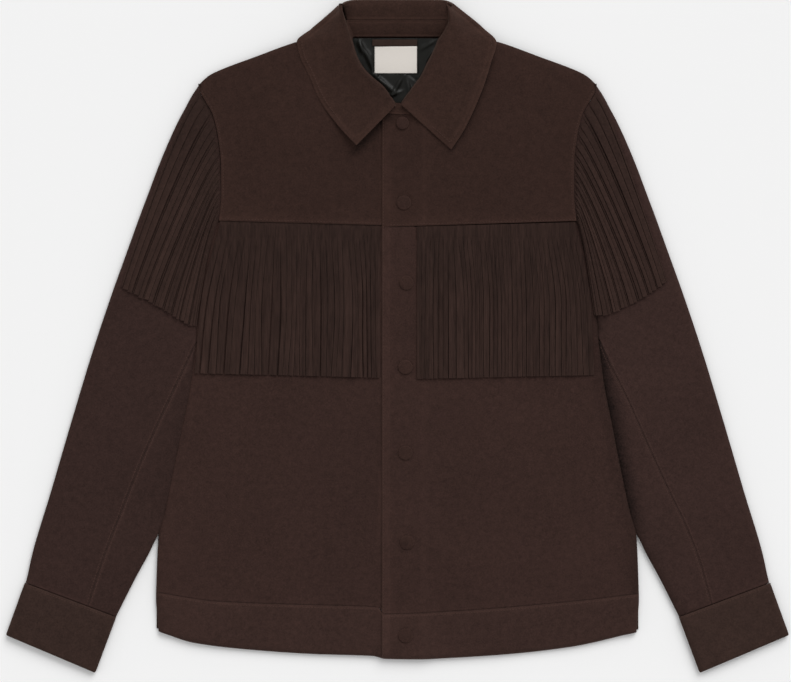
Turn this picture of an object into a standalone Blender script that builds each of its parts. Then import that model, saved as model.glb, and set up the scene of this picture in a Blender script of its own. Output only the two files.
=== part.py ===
"""Suede jacket with fringe, laid flat on its back, front up.

X runs across the jacket from its centre line, Y runs up from the hem towards the collar, and Z is the
height above the table. The tables below are in millimetres, measured from the centre line, from the
hem at the centre front and from the table. Every cloth panel is an open surface through sections worked
out from those tables, with a wall of suede put behind it.
"""

import math
import random

import bpy
import numpy as np

MM = 0.001

# Driving sizes of the whole garment
COLLECTION_NAME = "suede_jacket"
LOWEST_CUFF = -13.6
COLLAR_BACK_EDGE = 713.0

# Cloth and the heights of its layers above the table
WALL = 2.0
LEATHER_FOLD = 2.4
SEAM_GAP = 0.35
LAYER_GAP = 0.4
FRONT_TOP = 7.6
LAP_RISE = 2.3
EDGE_ROLL = 9.0
SIDE_SEAM_HEIGHT = WALL + 0.9
SHOULDER_SEAM_HEIGHT = WALL + 1.9
SLEEVE_BODY_GAP = 1.0
ROLL_POINTS = (90, 55, 25, 0)
ROLL_INSET = 2.0

# Lines across and down the body
YOKE_SEAM = 473.0
HEM_SEAM = 73.4
HEM_HALF_WIDTH = 260.0
OVER_FRONT_EDGE = -17.3
UNDER_FRONT_EDGE = 18.0
LAP_END = 24.0
LAP_RAMP = 22.0

# The collar's fall lies under the back panel, which rises over it
FALL_BOTTOM = 640.0
FALL_HALF_WIDTH = 113.0
FALL_LIFT = 2.6
LIFT_BELOW = 62.0
LIFT_RAMP_BELOW = 50.0
LIFT_BESIDE = 18.0
LIFT_RAMP_BESIDE = 45.0

# Side of the body: height above the hem, half width
BODY_SIDE = [
    (73.4, 260.0),
    (105.0, 259.0),
    (139.0, 257.0),
    (162.0, 250.5),
    (200.0, 242.5),
    (250.0, 232.5),
    (302.0, 222.5),
    (349.0, 217.0),
    (355.0, 216.5),
    (396.0, 211.5),
    (437.0, 203.5),
    (473.0, 193.2),
]

# Armhole seam: height above the hem, half width
ARMHOLE = [
    (474.0, 192.8),
    (505.0, 190.2),
    (536.0, 190.5),
    (564.0, 193.5),
    (589.0, 199.5),
    (601.0, 206.0),
    (613.5, 213.5),
]

# Shoulder line from the armhole to the neck: half width, height above the hem
SHOULDER = [
    (213.5, 622.0),
    (205.0, 630.0),
    (196.0, 635.0),
    (151.0, 652.0),
    (107.5, 667.5),
    (60.0, 679.0),
]

# Back neck seam: half width, height above the hem
BACK_NECK = [
    (45.0, 674.5),
    (20.0, 672.5),
    (0.0, 672.0),
]

# Front neck seam: distance from the centre on that side, height above the hem
FRONT_NECK = [
    (3.0, 590.0),
    (24.0, 590.5),
    (34.0, 607.0),
    (42.0, 624.0),
    (55.0, 655.0),
    (60.0, 679.0),
]
NECK_FRONT_HEIGHT = 590.0
SHOULDER_TIP = (213.2, 622.0)

# Hem edge: place across, height of the edge, from the left side seam to the right one
HEM_EDGE = [
    (-260.5, 32.0),
    (-219.0, 18.5),
    (-154.0, 10.8),
    (-89.0, 6.5),
    (-24.0, 4.3),
    (-15.7, 1.0),
    (24.3, 0.0),
    (56.7, 2.2),
    (121.5, 6.5),
    (186.0, 14.0),
    (259.8, 30.5),
]

# Hem band seam: place across, height, from left to right
HEM_BAND_SEAM = [
    (-260.0, 73.4),
    (-195.0, 63.7),
    (-126.0, 60.7),
    (-21.0, 57.5),
    (-14.6, 50.0),
    (75.6, 54.0),
    (158.0, 60.7),
    (213.0, 66.2),
    (260.0, 72.0),
]

# Outer fold of the sleeve: height above the hem, half width
SLEEVE_FOLD = [
    (40.0, 417.5),
    (84.0, 401.2),
    (116.6, 393.7),
    (181.4, 374.2),
    (259.0, 351.5),
    (337.0, 327.8),
    (401.8, 306.0),
    (440.6, 292.0),
    (479.5, 278.0),
    (505.0, 268.4),
    (531.0, 258.7),
    (557.0, 248.0),
    (583.0, 236.0),
    (595.0, 229.5),
    (609.0, 222.0),
    (622.0, 213.3),
]
SLEEVE_SECTION_RISE = 0.375
SLEEVE_THICKNESS = 7.6

# Inner edge of the sleeve below the body: height above the hem, half width
SLEEVE_INNER = [
    (129.6, 261.4),
    (116.6, 267.5),
    (91.0, 281.5),
    (47.5, 303.5),
]

# Front seam of the sleeve: height of its inner edge, share of the width on the left and right sleeve
SLEEVE_SEAM = [
    (47.5, 0.28, 0.38),
    (91.0, 0.345, 0.40),
    (116.6, 0.365, 0.42),
    (139.0, 0.385, 0.435),
    (162.0, 0.345, 0.40),
    (200.0, 0.285, 0.31),
    (250.0, 0.20, 0.25),
    (302.0, 0.12, 0.15),
    (349.0, 0.05, 0.05),
]
UNDER_SLEEVE_TOP = 350.0

# Cuff: ends of its seam and of its edge
CUFF_SEAM_INNER = (303.4, 46.8)
CUFF_SEAM_OUTER = (402.2, 83.8)
CUFF_EDGE_INNER = (326.0, -13.6)
CUFF_EDGE_OUTER = (422.6, 27.3)
CUFF_THICKNESS = 9.0

# Collar leaves, from the front edge round to the back: the roll line's x, y and height, and the outer
# edge's x, y and height
LEFT_LEAF = [
    (-1.6, 598.3, 18.5, -43.7, 556.5, 12.8),
    (-13.5, 614.5, 19.0, -64.3, 579.4, 13.4),
    (-26.5, 625.3, 20.0, -81.5, 607.0, 13.4),
    (-37.3, 637.2, 21.0, -93.4, 634.0, 13.4),
    (-46.4, 652.3, 22.0, -102.0, 651.0, 13.4),
    (-51.3, 670.7, 22.5, -107.0, 667.0, 12.8),
    (-54.5, 689.0, 22.5, -92.3, 682.6, 5.2),
    (-53.5, 702.0, 22.0, -70.0, 701.0, 5.2),
    (-51.5, 708.0, 20.0, -60.5, 708.5, 6.0),
]
RIGHT_LEAF = [
    (4.9, 600.0, 20.0, 58.9, 552.0, 12.6),
    (20.0, 618.8, 20.5, 71.8, 571.9, 13.4),
    (26.5, 627.5, 21.0, 85.9, 600.5, 13.4),
    (33.0, 640.4, 21.5, 94.5, 622.0, 13.4),
    (42.7, 661.0, 22.0, 102.0, 645.8, 13.4),
    (47.5, 672.7, 22.5, 107.3, 665.8, 12.8),
    (54.5, 689.0, 22.5, 92.3, 682.6, 5.2),
    (53.5, 702.0, 22.0, 70.0, 701.0, 5.2),
    (51.5, 708.0, 20.0, 60.5, 708.5, 6.0),
]

# Section of a leaf: share of the way from the roll to the edge, share of the roll's rise
LEAF_PROFILE = [
    (0.0, 0.72),
    (0.06, 1.0),
    (0.2, 0.84),
    (0.45, 0.42),
    (0.75, 0.1),
    (1.0, 0.0),
]

# Inside of the collar at the back neck: height above the hem, half width, height above the table
COLLAR_INSIDE = [
    (690.5, 51.2, 15.9),
    (699.0, 50.8, 18.4),
    (706.0, 49.8, 19.8),
    (710.6, 47.5, 19.0),
]
STAND_TOP = 690.0
STAND_BOTTOM = 672.6
STAND_HALF_WIDTH = 49.0
STAND_WALL = 1.8
STAND_CENTRE = (0.0, 648.0)
STAND_BELOW_ROLL = 4.5
STAND_INSET_TOP = 2.2
STAND_INSET_BOTTOM = 7.5
STAND_FOOT = 8.2
STAND_BACK_TOP = 15.5
STAND_BACK_FOOT = 8.4
STAND_FOOT_SHARE = 0.92

# Lapped end of the stand at the top of the front: middle, half width at its foot, narrowing, length
STAND_END_MIDDLE = 3.0
STAND_END_HALF_WIDTH = 15.0
STAND_END_NARROWING = 0.9
STAND_END_LENGTH = 9.5

# Fall of the collar behind and under the neck: height above the hem, half width, height above the table
COLLAR_FALL = [
    (711.2, 45.0, 15.6),
    (713.0, 46.0, 9.0),
    (712.2, 50.0, 3.6),
    (709.5, 58.5, 0.7),
    (704.0, 66.0, 0.0),
    (682.6, 92.0, 0.0),
    (667.0, 107.0, 0.0),
    (640.0, 113.0, 0.0),
]
FALL_WALL = 2.2

# Lining, label and tape inside the neck
LINING_WALL = 1.0
INSIDE_GAP = 0.3
LINING_HALF_WIDTH = 57.0
LINING_BOTTOM = 588.0
LINING_TOP = 671.0
LABEL_CENTRE = (-1.9, 647.8)
LABEL_SIZE = (45.9, 29.2, 0.8)
TAPE_CENTRE = (-3.0, 666.0)
TAPE_SIZE = (48.6, 5.4, 0.9)

# Snap buttons down the lapped front: place across, height above the hem, diameter
SNAPS = [
    (5.4, 579.4, 13.6),
    (7.0, 493.6, 15.6),
    (9.7, 407.2, 15.6),
    (8.6, 316.4, 15.6),
    (8.4, 223.8, 15.6),
    (10.3, 127.4, 15.6),
    (8.7, 27.0, 15.6),
]
SNAP_HEIGHT = 2.6
SNAP_GAP = 0.3

# Section of a snap cap: share of the radius, share of the height
SNAP_PROFILE = [
    (0.0, 1.0),
    (0.45, 0.95),
    (0.78, 0.78),
    (0.96, 0.42),
    (1.0, 0.12),
    (0.9, 0.0),
    (0.0, 0.0),
]
SNAP_SIDES = 16

# Fringe: strips of suede cut into strands below an uncut edge
STRAND_WALL = 1.2
STRAND_GAP = 0.9
FRINGE_STRIP = 19.0
SLEEVE_FRINGE_STRIP = 4.0
STRAND_STEPS = 4
STRAND_LIFT = 0.9

# Chest fringe: ends of its sewn edge, heights of its lower edge at both ends
CHEST_FRINGE = {
    "left": (-191.5, -18.8, 308.5, 303.5),
    "right": (21.0, 191.5, 302.4, 306.5),
}

# Sides of the strands half way down and at their ends: places across
STRAND_SIDES = {
    "left": [
        (-212.4, -218.4), (-205.7, -213.4), (-197.1, -204.7), (-191.7, -196.0), (-182.0, -187.4),
        (-175.5, -182.0), (-164.7, -170.1), (-158.2, -161.5), (-152.8, -155.0), (-146.3, -147.4),
        (-135.5, -139.9), (-125.8, -129.1), (-119.3, -123.7), (-113.9, -118.3), (-109.6, -111.8),
        (-105.3, -105.3), (-98.8, -98.8), (-92.3, -91.3), (-82.6, -83.7), (-75.1, -77.2),
        (-67.5, -71.8), (-62.1, -66.4), (-57.8, -60.6), (-48.1, -50.2), (-42.7, -43.7),
        (-37.3, -37.3), (-33.0, -32.6), (-28.4, -27.9), (-24.0, -23.2), (-18.8, -18.8),
    ],
    "right": [
        (21.0, 21.0), (25.4, 25.4), (29.7, 29.7), (34.0, 34.0), (38.3, 38.3), (43.7, 43.7),
        (49.1, 49.1), (54.5, 54.5), (63.2, 63.2), (71.8, 71.8), (76.1, 76.1), (80.5, 80.5),
        (84.4, 84.4), (88.4, 88.4), (92.6, 92.6), (99.4, 99.4), (103.7, 103.7), (107.7, 107.7),
        (111.8, 111.8), (115.6, 115.6), (119.5, 119.5), (123.9, 123.9), (129.1, 129.1), (134.3, 134.3),
        (138.8, 138.8), (146.3, 146.3), (152.8, 152.8), (158.2, 158.2), (163.6, 163.6), (170.1, 170.1),
        (176.6, 176.6), (182.0, 182.0), (186.4, 187.4), (191.8, 193.9), (197.4, 200.3), (203.2, 206.6),
        (208.8, 212.2),
    ],
}

# Sleeve fringe: ends of its bottom edge, outer to inner, place across and height above the hem
SLEEVE_FRINGE_HEM = {
    "left": [(-298.0, 402.0), (-275.0, 391.0), (-253.0, 378.5), (-236.5, 368.0), (-224.5, 360.5),
             (-217.0, 361.0)],
    "right": [(290.5, 409.5), (277.5, 399.0), (258.5, 387.5), (242.0, 379.5), (228.0, 373.0), (212.8, 371.5)],
}
SLEEVE_STRANDS = 25

# How far the sleeve strands stand out from the seam before they turn down, and how strongly
SLEEVE_STRAND_BEND = {"left": (44.0, -30.0), "right": (30.0, -44.0)}

# Colours of the materials, roughness of each
SUEDE = ((0.045, 0.022, 0.017, 1.0), 0.95)
LINING_SATIN = ((0.02, 0.02, 0.016, 1.0), 0.35)
LABEL_SATIN = ((0.62, 0.58, 0.53, 1.0), 0.45)
TAPE_CLOTH = ((0.05, 0.025, 0.018, 1.0), 0.8)


def clear_scene():
    """Remove what the file opens with."""
    for old in list(bpy.data.objects):
        bpy.data.objects.remove(old, do_unlink=True)


def finish_of(name, finish):
    """A Principled material with the colour and roughness of one cloth."""
    colour, roughness = finish
    material = bpy.data.materials.new(name)
    material.use_nodes = True
    shader = material.node_tree.nodes["Principled BSDF"]
    shader.inputs["Base Color"].default_value = colour
    shader.inputs["Roughness"].default_value = roughness
    shader.inputs["Metallic"].default_value = 0.0
    material.diffuse_color = colour
    return material


def read(rows, key, column=1, by=0):
    """The value of one column of a table where another column has the value key."""
    ordered = sorted(rows, key=lambda row: row[by])
    return np.interp(key, [row[by] for row in ordered], [row[column] for row in ordered])


def ease(share):
    """A smooth step from 0 to 1."""
    held = np.clip(share, 0.0, 1.0)
    return held * held * (3.0 - 2.0 * held)


def lift(x, y):
    """How far the collar's fall raises the layers above it at the neck."""
    up = ease((y - FALL_BOTTOM + LIFT_BELOW + LIFT_RAMP_BELOW) / LIFT_RAMP_BELOW)
    across = ease((FALL_HALF_WIDTH + LIFT_BESIDE + LIFT_RAMP_BESIDE - np.abs(x)) / LIFT_RAMP_BESIDE)
    return FALL_LIFT * up * across


def lap(x):
    """How far the lapped front stands above the front under it."""
    return LAP_RISE * (1.0 - ease((x - LAP_END) / LAP_RAMP))


def front_height(x, y, lapped):
    """Height of the front's outer face away from its edges."""
    return FRONT_TOP + lift(x, y) + (lap(x) if lapped else 0.0)


def split_faces(thing):
    """Every face becomes triangles in one fixed way."""
    split = thing.modifiers.new("triangles", "TRIANGULATE")
    split.quad_method = "FIXED"
    split.ngon_method = "BEAUTY"


def new_object(name, vertices, faces, material):
    """A mesh object of the jacket from its points in millimetres."""
    mesh = bpy.data.meshes.new(name)
    mesh.from_pydata([tuple(c * MM for c in point) for point in vertices], [], faces)
    mesh.update()
    thing = bpy.data.objects.new(name, mesh)
    jacket.objects.link(thing)
    thing.parent = placement
    mesh.materials.append(material)
    mesh.shade_smooth()
    mesh.set_sharp_from_angle(angle=math.radians(40))
    return thing


def cloth(name, sections, thickness, material, ring=False):
    """A wall of cloth: a surface through sections, seen from its outer face, with its wall behind it.

    A ring closes each section on itself. Sections run so that the outer face is on the left of a walk
    along a section, as seen with the next section ahead.
    """
    rows = len(sections)
    columns = len(sections[0])
    vertices = [tuple(point) for section in sections for point in section]
    faces = []
    for row in range(rows - 1):
        for column in range(columns if ring else columns - 1):
            after = (column + 1) % columns
            faces.append((row * columns + column, row * columns + after,
                          (row + 1) * columns + after, (row + 1) * columns + column))
    thing = new_object(name, vertices, faces, material)
    wall = thing.modifiers.new("wall", "SOLIDIFY")
    wall.thickness = thickness * MM
    wall.offset = -1.0
    wall.use_rim = True
    split_faces(thing)


def mirrored(sections):
    """The same sections on the left side, in the order that keeps the outer face outside."""
    return [[(-x, y, z) for x, y, z in section] for section in reversed(sections)]


def body_rows():
    """Heights and half widths of the body's sections, from the hem band seam to the yoke seam."""
    return [row for row in BODY_SIDE if row[0] > HEM_SEAM + 1.0]


def rolled_edge(x_edge, y):
    """Points from the front's top face over the body's rounded edge to its side seam."""
    points = []
    centre = x_edge - EDGE_ROLL
    for degrees in ROLL_POINTS:
        turn = math.radians(degrees)
        points.append((centre + EDGE_ROLL * math.cos(turn), y,
                       SIDE_SEAM_HEIGHT + (FRONT_TOP - SIDE_SEAM_HEIGHT) * math.sin(turn)))
    return points


def front_columns(lapped):
    """Places across one front, from its own edge, where its sections have points."""
    if lapped:
        return [OVER_FRONT_EDGE, 0.0, 20.0, 28.0, 35.0, 42.0, 50.0, 100.0, 150.0]
    return [-UNDER_FRONT_EDGE, 0.0, 17.0, 50.0, 100.0, 150.0]


def front_section(lapped, half_width, y_of):
    """A section across one front at one height, ending over the rolled side edge."""
    side = 1.0 if lapped else -1.0
    points = []
    for place in front_columns(lapped):
        x = min(place, half_width - EDGE_ROLL - ROLL_INSET)
        y = y_of(side * x)
        points.append((x, y, front_height(x, y, lapped)))
    points.extend(rolled_edge(half_width, y_of(side * half_width)))
    return points


def front_panels():
    """The two fronts between the hem band and the yoke."""
    for lapped, name in ((False, "front_left"), (True, "front_right")):
        sections = [front_section(lapped, read(BODY_SIDE, HEM_SEAM),
                                  lambda x: float(read(HEM_BAND_SEAM, x)) + SEAM_GAP)]
        for height, half_width in body_rows():
            level = min(height, YOKE_SEAM - SEAM_GAP)
            sections.append(front_section(lapped, half_width, lambda x, level=level: level))
        cloth(name, sections if lapped else mirrored(sections), WALL, suede)


def hem_bands():
    """The band round the hem: two fronts and a back."""
    for lapped, name in ((False, "hem_band_left"), (True, "hem_band_right")):
        sections = []
        for share in (0.0, 0.5, 1.0):
            def band_height(x, share=share):
                low = float(read(HEM_EDGE, x))
                high = float(read(HEM_BAND_SEAM, x))
                return low + share * (high - low)
            sections.append(front_section(lapped, HEM_HALF_WIDTH, band_height))
        cloth(name, sections if lapped else mirrored(sections), WALL, suede)
    sections = []
    for share in (0.0, 0.5, 1.0):
        section = []
        for x in np.linspace(-HEM_HALF_WIDTH, HEM_HALF_WIDTH, 15):
            low = float(read(HEM_EDGE, x)) + 1.0
            high = float(read(HEM_BAND_SEAM, x)) - SEAM_GAP
            section.append((x, low + share * (high - low), WALL))
        sections.append(section)
    cloth("hem_band_back", sections, WALL, suede)


def filled_patch(low, right, high, left, across, up):
    """A Coons patch: the surface in the plane that blends four border lines, at shares across and up."""
    def at(line, share):
        line = np.asarray(line, float)
        places = np.linspace(0.0, 1.0, len(line))
        return np.array([np.interp(share, places, line[:, axis]) for axis in (0, 1)])
    corners = [np.asarray(point, float) for point in (low[0], low[-1], high[0], high[-1])]
    rows = []
    for v in up:
        row = []
        for u in across:
            ruled = (1 - v) * at(low, u) + v * at(high, u) + (1 - u) * at(left, v) + u * at(right, v)
            bilinear = ((1 - u) * (1 - v) * corners[0] + u * (1 - v) * corners[1]
                        + (1 - u) * v * corners[2] + u * v * corners[3])
            row.append(ruled - bilinear)
        rows.append(row)
    return rows


def even_line(points, count):
    """Points at even steps of length along a line through the given points."""
    line = np.asarray(points, float)
    steps = np.hypot(*np.diff(line, axis=0).T)
    lengths = np.concatenate([[0.0], np.cumsum(steps)])
    places = np.linspace(0.0, lengths[-1], count)
    return [(float(np.interp(p, lengths, line[:, 0])), float(np.interp(p, lengths, line[:, 1]))) for p in places]


def distance_to_shoulder(x, y):
    """Shortest way from a point to the shoulder line on the right side."""
    line = np.asarray(SHOULDER + [(ARMHOLE[-1][1], ARMHOLE[-1][0])], float)
    line = line[np.argsort(line[:, 0])]
    best = 1.0e9
    for start, end in zip(line[:-1], line[1:]):
        along = end - start
        share = np.clip(np.dot((x, y) - start, along) / np.dot(along, along), 0.0, 1.0)
        best = min(best, float(np.hypot(*((x, y) - start - share * along))))
    return best


def front_yokes():
    """The two yokes, from the fringe seam to the shoulder and the neck."""
    armhole = [(x - SEAM_GAP, y) for y, x in ARMHOLE]
    armhole.append(SHOULDER_TIP)
    for lapped, name in ((False, "yoke_left"), (True, "yoke_right")):
        inner = OVER_FRONT_EDGE if lapped else -UNDER_FRONT_EDGE
        low = [(x, YOKE_SEAM) for x in front_columns(lapped)] + [(armhole[0][0], YOKE_SEAM)]
        neck = [(inner, NECK_FRONT_HEIGHT)] + FRONT_NECK
        high = neck + list(reversed(SHOULDER[:-1]))
        left = [(inner, YOKE_SEAM), (inner, NECK_FRONT_HEIGHT)]
        shares_across = np.linspace(0.0, 1.0, len(high))
        shares_up = [step / (len(armhole) - 1) for step in range(len(armhole) - 1)] + [0.93, 0.975, 1.0]
        grid = filled_patch(low, armhole, high, left, shares_across, shares_up)
        sections = []
        for row in grid:
            section = []
            for x, y in row:
                edge = min(distance_to_shoulder(x, y) / EDGE_ROLL, 1.0)
                drop = (FRONT_TOP - SHOULDER_SEAM_HEIGHT) * (1.0 - math.sqrt(1.0 - (1.0 - edge) ** 2))
                section.append((x, y, front_height(x, y, lapped) - drop))
            sections.append(section)
        cloth(name, sections if lapped else mirrored(sections), WALL, suede)


def back_panel():
    """The back, from the hem band seam to the shoulders and the back neck, flat on the table."""
    side = [(x, y) for y, x in BODY_SIDE[:-1]] + [(x - SEAM_GAP, y) for y, x in ARMHOLE]
    side[0] = (HEM_HALF_WIDTH, float(read(HEM_BAND_SEAM, HEM_HALF_WIDTH)) + SEAM_GAP)
    half_top = SHOULDER + BACK_NECK
    high = [(-x, y) for x, y in half_top] + [(x, y) for x, y in reversed(half_top[:-1])]
    low = [(x, float(read(HEM_BAND_SEAM, x)) + SEAM_GAP)
           for x in np.linspace(-HEM_HALF_WIDTH, HEM_HALF_WIDTH, 15)]
    side.append(SHOULDER_TIP)
    left = [(-x, y) for x, y in side]
    left[0] = low[0]
    shares_up = np.linspace(0.0, 1.0, len(side))
    shares_across = np.linspace(0.0, 1.0, len(high))
    grid = filled_patch(low, side, high, left, shares_across, shares_up)
    sections = [[(x, y, WALL + float(lift(x, y))) for x, y in row] for row in grid]
    cloth("back_panel", sections, WALL, suede)


def sleeve_rows():
    """Inner points of the sleeve's sections, from the shoulder down to the cuff seam."""
    rows = [(x + SEAM_GAP, y) for y, x in reversed(ARMHOLE)]
    rows += [(x + SLEEVE_BODY_GAP, y) for y, x in reversed(BODY_SIDE[2:-1])]
    rows += [(x, y) for y, x in SLEEVE_INNER]
    return rows


def across_sleeve(inner):
    """The point of the outer fold that lies straight across the sleeve from an inner point."""
    x, y = inner[0] + 50.0, inner[1]
    for _ in range(40):
        y = inner[1] + SLEEVE_SECTION_RISE * (x - inner[0])
        x = float(read(SLEEVE_FOLD, y))
    return x, y


def tube_point(inner, outer, along, z):
    """A point of a flattened tube, at a distance along from its inner edge."""
    width = math.dist(inner, outer)
    share = along / width
    return (inner[0] + share * (outer[0] - inner[0]), inner[1] + share * (outer[1] - inner[1]), z)


def fold_arc(centre_along, radius, outward):
    """Distances and heights round the folded edge of a flattened tube, from its top to its underside."""
    return [(centre_along + outward * radius * math.cos(math.radians(turn)),
             radius + radius * math.sin(math.radians(turn))) for turn in (50, 10, -30, -65)]


def sleeves():
    """Two-piece sleeves: the top sleeve over the outer fold, the under sleeve round the inner one."""
    radius = SLEEVE_THICKNESS / 2.0
    for side, sign, seam_column in (("left", -1, 1), ("right", 1, 2)):
        top_sections = []
        under_sections = []
        for inner in sleeve_rows():
            outer = across_sleeve(inner)
            width = math.dist(inner, outer)
            seam = 0.0
            if inner[1] < UNDER_SLEEVE_TOP:
                seam = float(read(SLEEVE_SEAM, inner[1], seam_column)) * width
            bend = max(width - radius, seam + 0.3)
            path = [(seam + share * (bend - seam), SLEEVE_THICKNESS) for share in (0.0, 0.25, 0.5, 0.75, 1.0)]
            path += fold_arc(bend, radius, 1.0)
            path += [(seam + share * (bend - seam), 0.0) for share in (1.0, 0.5, 0.0)]
            top_sections.append([tube_point(inner, outer, along, z) for along, z in path])
            if seam:
                start = seam - SEAM_GAP
                bend = min(radius, start - 0.2)
                path = [(start, 0.0), (0.5 * (start + bend), 0.0), (bend, 0.0)]
                path += list(reversed(fold_arc(bend, radius, -1.0)))
                path += [(bend, SLEEVE_THICKNESS), (0.5 * (start + bend), SLEEVE_THICKNESS),
                         (start, SLEEVE_THICKNESS)]
                under_sections.append([tube_point(inner, outer, along, z) for along, z in path])
        top_sections.reverse()
        under_sections.reverse()
        for name, sections in (("top_sleeve", top_sections), ("under_sleeve", under_sections)):
            cloth(name + "_" + side, sections if sign > 0 else mirrored(sections), WALL, suede)


def cuffs():
    """The cuffs: flattened bands, doubled, sewn to the sleeve ends."""
    radius = CUFF_THICKNESS / 2.0
    for side, sign in (("left", -1), ("right", 1)):
        sections = []
        for share in (0.0, 0.5, 1.0):
            inner = [a + share * (b - a) for a, b in zip(CUFF_EDGE_INNER, CUFF_SEAM_INNER)]
            outer = [a + share * (b - a) for a, b in zip(CUFF_EDGE_OUTER, CUFF_SEAM_OUTER)]
            width = math.dist(inner, outer)
            far = width - radius
            path = [(radius + part * (far - radius), CUFF_THICKNESS) for part in (0.0, 0.33, 0.67, 1.0)]
            path += fold_arc(far, radius, 1.0)
            path += [(radius + part * (far - radius), 0.0) for part in (1.0, 0.5, 0.0)]
            path += list(reversed(fold_arc(radius, radius, -1.0)))
            sections.append([tube_point(inner, outer, along, z) for along, z in path])
        cloth("cuff_" + side, sections if sign > 0 else mirrored(sections), LEATHER_FOLD, suede, ring=True)


def collar_leaves():
    """The two ends of the collar, which lie folded over the yokes."""
    for name, table in (("collar_leaf_left", LEFT_LEAF), ("collar_leaf_right", RIGHT_LEAF)):
        sections = []
        for roll_x, roll_y, roll_z, edge_x, edge_y, edge_z in table:
            section = []
            for along, rise in LEAF_PROFILE:
                section.append((roll_x + along * (edge_x - roll_x), roll_y + along * (edge_y - roll_y),
                                edge_z + rise * (roll_z - edge_z)))
            sections.append(section)
        if name.endswith("left"):
            sections.reverse()
        cloth(name, sections, LEATHER_FOLD, suede)


def collar_back():
    """The collar at the back neck: its inside, its stand and the fall behind it."""
    shares = np.linspace(-1.0, 1.0, 7)
    inside = [[(share * half, y, z) for share in shares] for y, half, z in COLLAR_INSIDE]
    cloth("collar_inside", inside, LEATHER_FOLD, suede)
    fall = [[(share * half, y, z) for share in shares] for y, half, z in COLLAR_FALL]
    cloth("collar_fall", fall, FALL_WALL, suede)


def stand_rows():
    """Top and bottom points of the collar stand round the neck, from the left front to the right front."""
    rows = []
    for table in (LEFT_LEAF[1:6], RIGHT_LEAF[1:6]):
        side_rows = []
        for roll_x, roll_y, roll_z, _x, _y, _z in table:
            reach = math.dist((roll_x, roll_y), STAND_CENTRE)
            way = ((STAND_CENTRE[0] - roll_x) / reach, (STAND_CENTRE[1] - roll_y) / reach)
            top = (roll_x + STAND_INSET_TOP * way[0], roll_y + STAND_INSET_TOP * way[1],
                   roll_z - STAND_BELOW_ROLL)
            bottom = (roll_x + STAND_INSET_BOTTOM * way[0], roll_y + STAND_INSET_BOTTOM * way[1],
                      STAND_FOOT)
            side_rows.append((top, bottom))
        rows.append(side_rows)
    back = []
    for share in np.linspace(-1.0, 1.0, 7):
        x = share * STAND_HALF_WIDTH
        back.append(((x, STAND_TOP, STAND_BACK_TOP), (STAND_FOOT_SHARE * x, STAND_BOTTOM, STAND_BACK_FOOT)))
    return rows[0] + back + list(reversed(rows[1]))


def collar_stand():
    """The stand that carries the collar, seen from inside the neck."""
    rows = stand_rows()
    sections = []
    for share in (0.0, 0.5, 1.0):
        sections.append([tuple(b + share * (t - b) for t, b in zip(top, bottom)) for top, bottom in rows])
    cloth("collar_stand", sections, STAND_WALL, suede)
    front = []
    for up in (SEAM_GAP, 0.5 * STAND_END_LENGTH, STAND_END_LENGTH):
        half = STAND_END_HALF_WIDTH - STAND_END_NARROWING * up
        front.append([(STAND_END_MIDDLE + share * half, NECK_FRONT_HEIGHT + up,
                       FRONT_TOP + LAP_RISE + FALL_LIFT) for share in np.linspace(-1.0, 1.0, 5)])
    cloth("stand_front_end", front, WALL, suede)


def plain_box(name, centre, size, low, material, bevel):
    """A thin flat piece with softened edges that lies on the lining."""
    bpy.ops.mesh.primitive_cube_add(size=1.0)
    thing = bpy.context.active_object
    thing.name = name
    for old in list(thing.users_collection):
        old.objects.unlink(thing)
    jacket.objects.link(thing)
    thing.data.transform(((size[0] * MM, 0, 0, 0), (0, size[1] * MM, 0, 0), (0, 0, size[2] * MM, 0), (0, 0, 0, 1)))
    thing.location = (centre[0] * MM, centre[1] * MM, (low + size[2] / 2.0) * MM)
    thing.parent = placement
    thing.data.materials.append(material)
    softened = thing.modifiers.new("softened", "BEVEL")
    softened.width = bevel * MM
    softened.segments = 1


def neck_inside():
    """What shows inside the neck: the lining on the back, the blank label and the tape above it."""
    sections = []
    for y in np.linspace(LINING_BOTTOM, LINING_TOP, 6):
        sections.append([(x, y, WALL + INSIDE_GAP + LINING_WALL + float(lift(x, y)))
                         for x in np.linspace(-LINING_HALF_WIDTH, LINING_HALF_WIDTH, 7)])
    cloth("neck_lining", sections, LINING_WALL, lining)
    low = WALL + INSIDE_GAP + LINING_WALL + FALL_LIFT + INSIDE_GAP
    plain_box("neck_label", LABEL_CENTRE, LABEL_SIZE, low, label_satin, 0.2)
    plain_box("neck_tape", TAPE_CENTRE, TAPE_SIZE, low, tape, 0.2)


def snap_buttons():
    """Covered snap caps down the lapped front."""
    for number, (x, y, diameter) in enumerate(SNAPS, start=1):
        points = [(share * diameter / 2.0, 0.0, rise * SNAP_HEIGHT) for share, rise in SNAP_PROFILE]
        edges = [(place, place + 1) for place in range(len(points) - 1)]
        mesh = bpy.data.meshes.new("snap")
        mesh.from_pydata([tuple(c * MM for c in point) for point in points], edges, [])
        cap = bpy.data.objects.new("snap_%d" % number, mesh)
        jacket.objects.link(cap)
        cap.parent = placement
        mesh.materials.append(suede)
        turned = cap.modifiers.new("turned", "SCREW")
        turned.steps = SNAP_SIDES
        turned.render_steps = SNAP_SIDES
        turned.use_merge_vertices = True
        turned.merge_threshold = 0.0001
        cap.location = (x * MM, y * MM, (float(front_height(x, y, True)) + SNAP_GAP) * MM)


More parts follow.
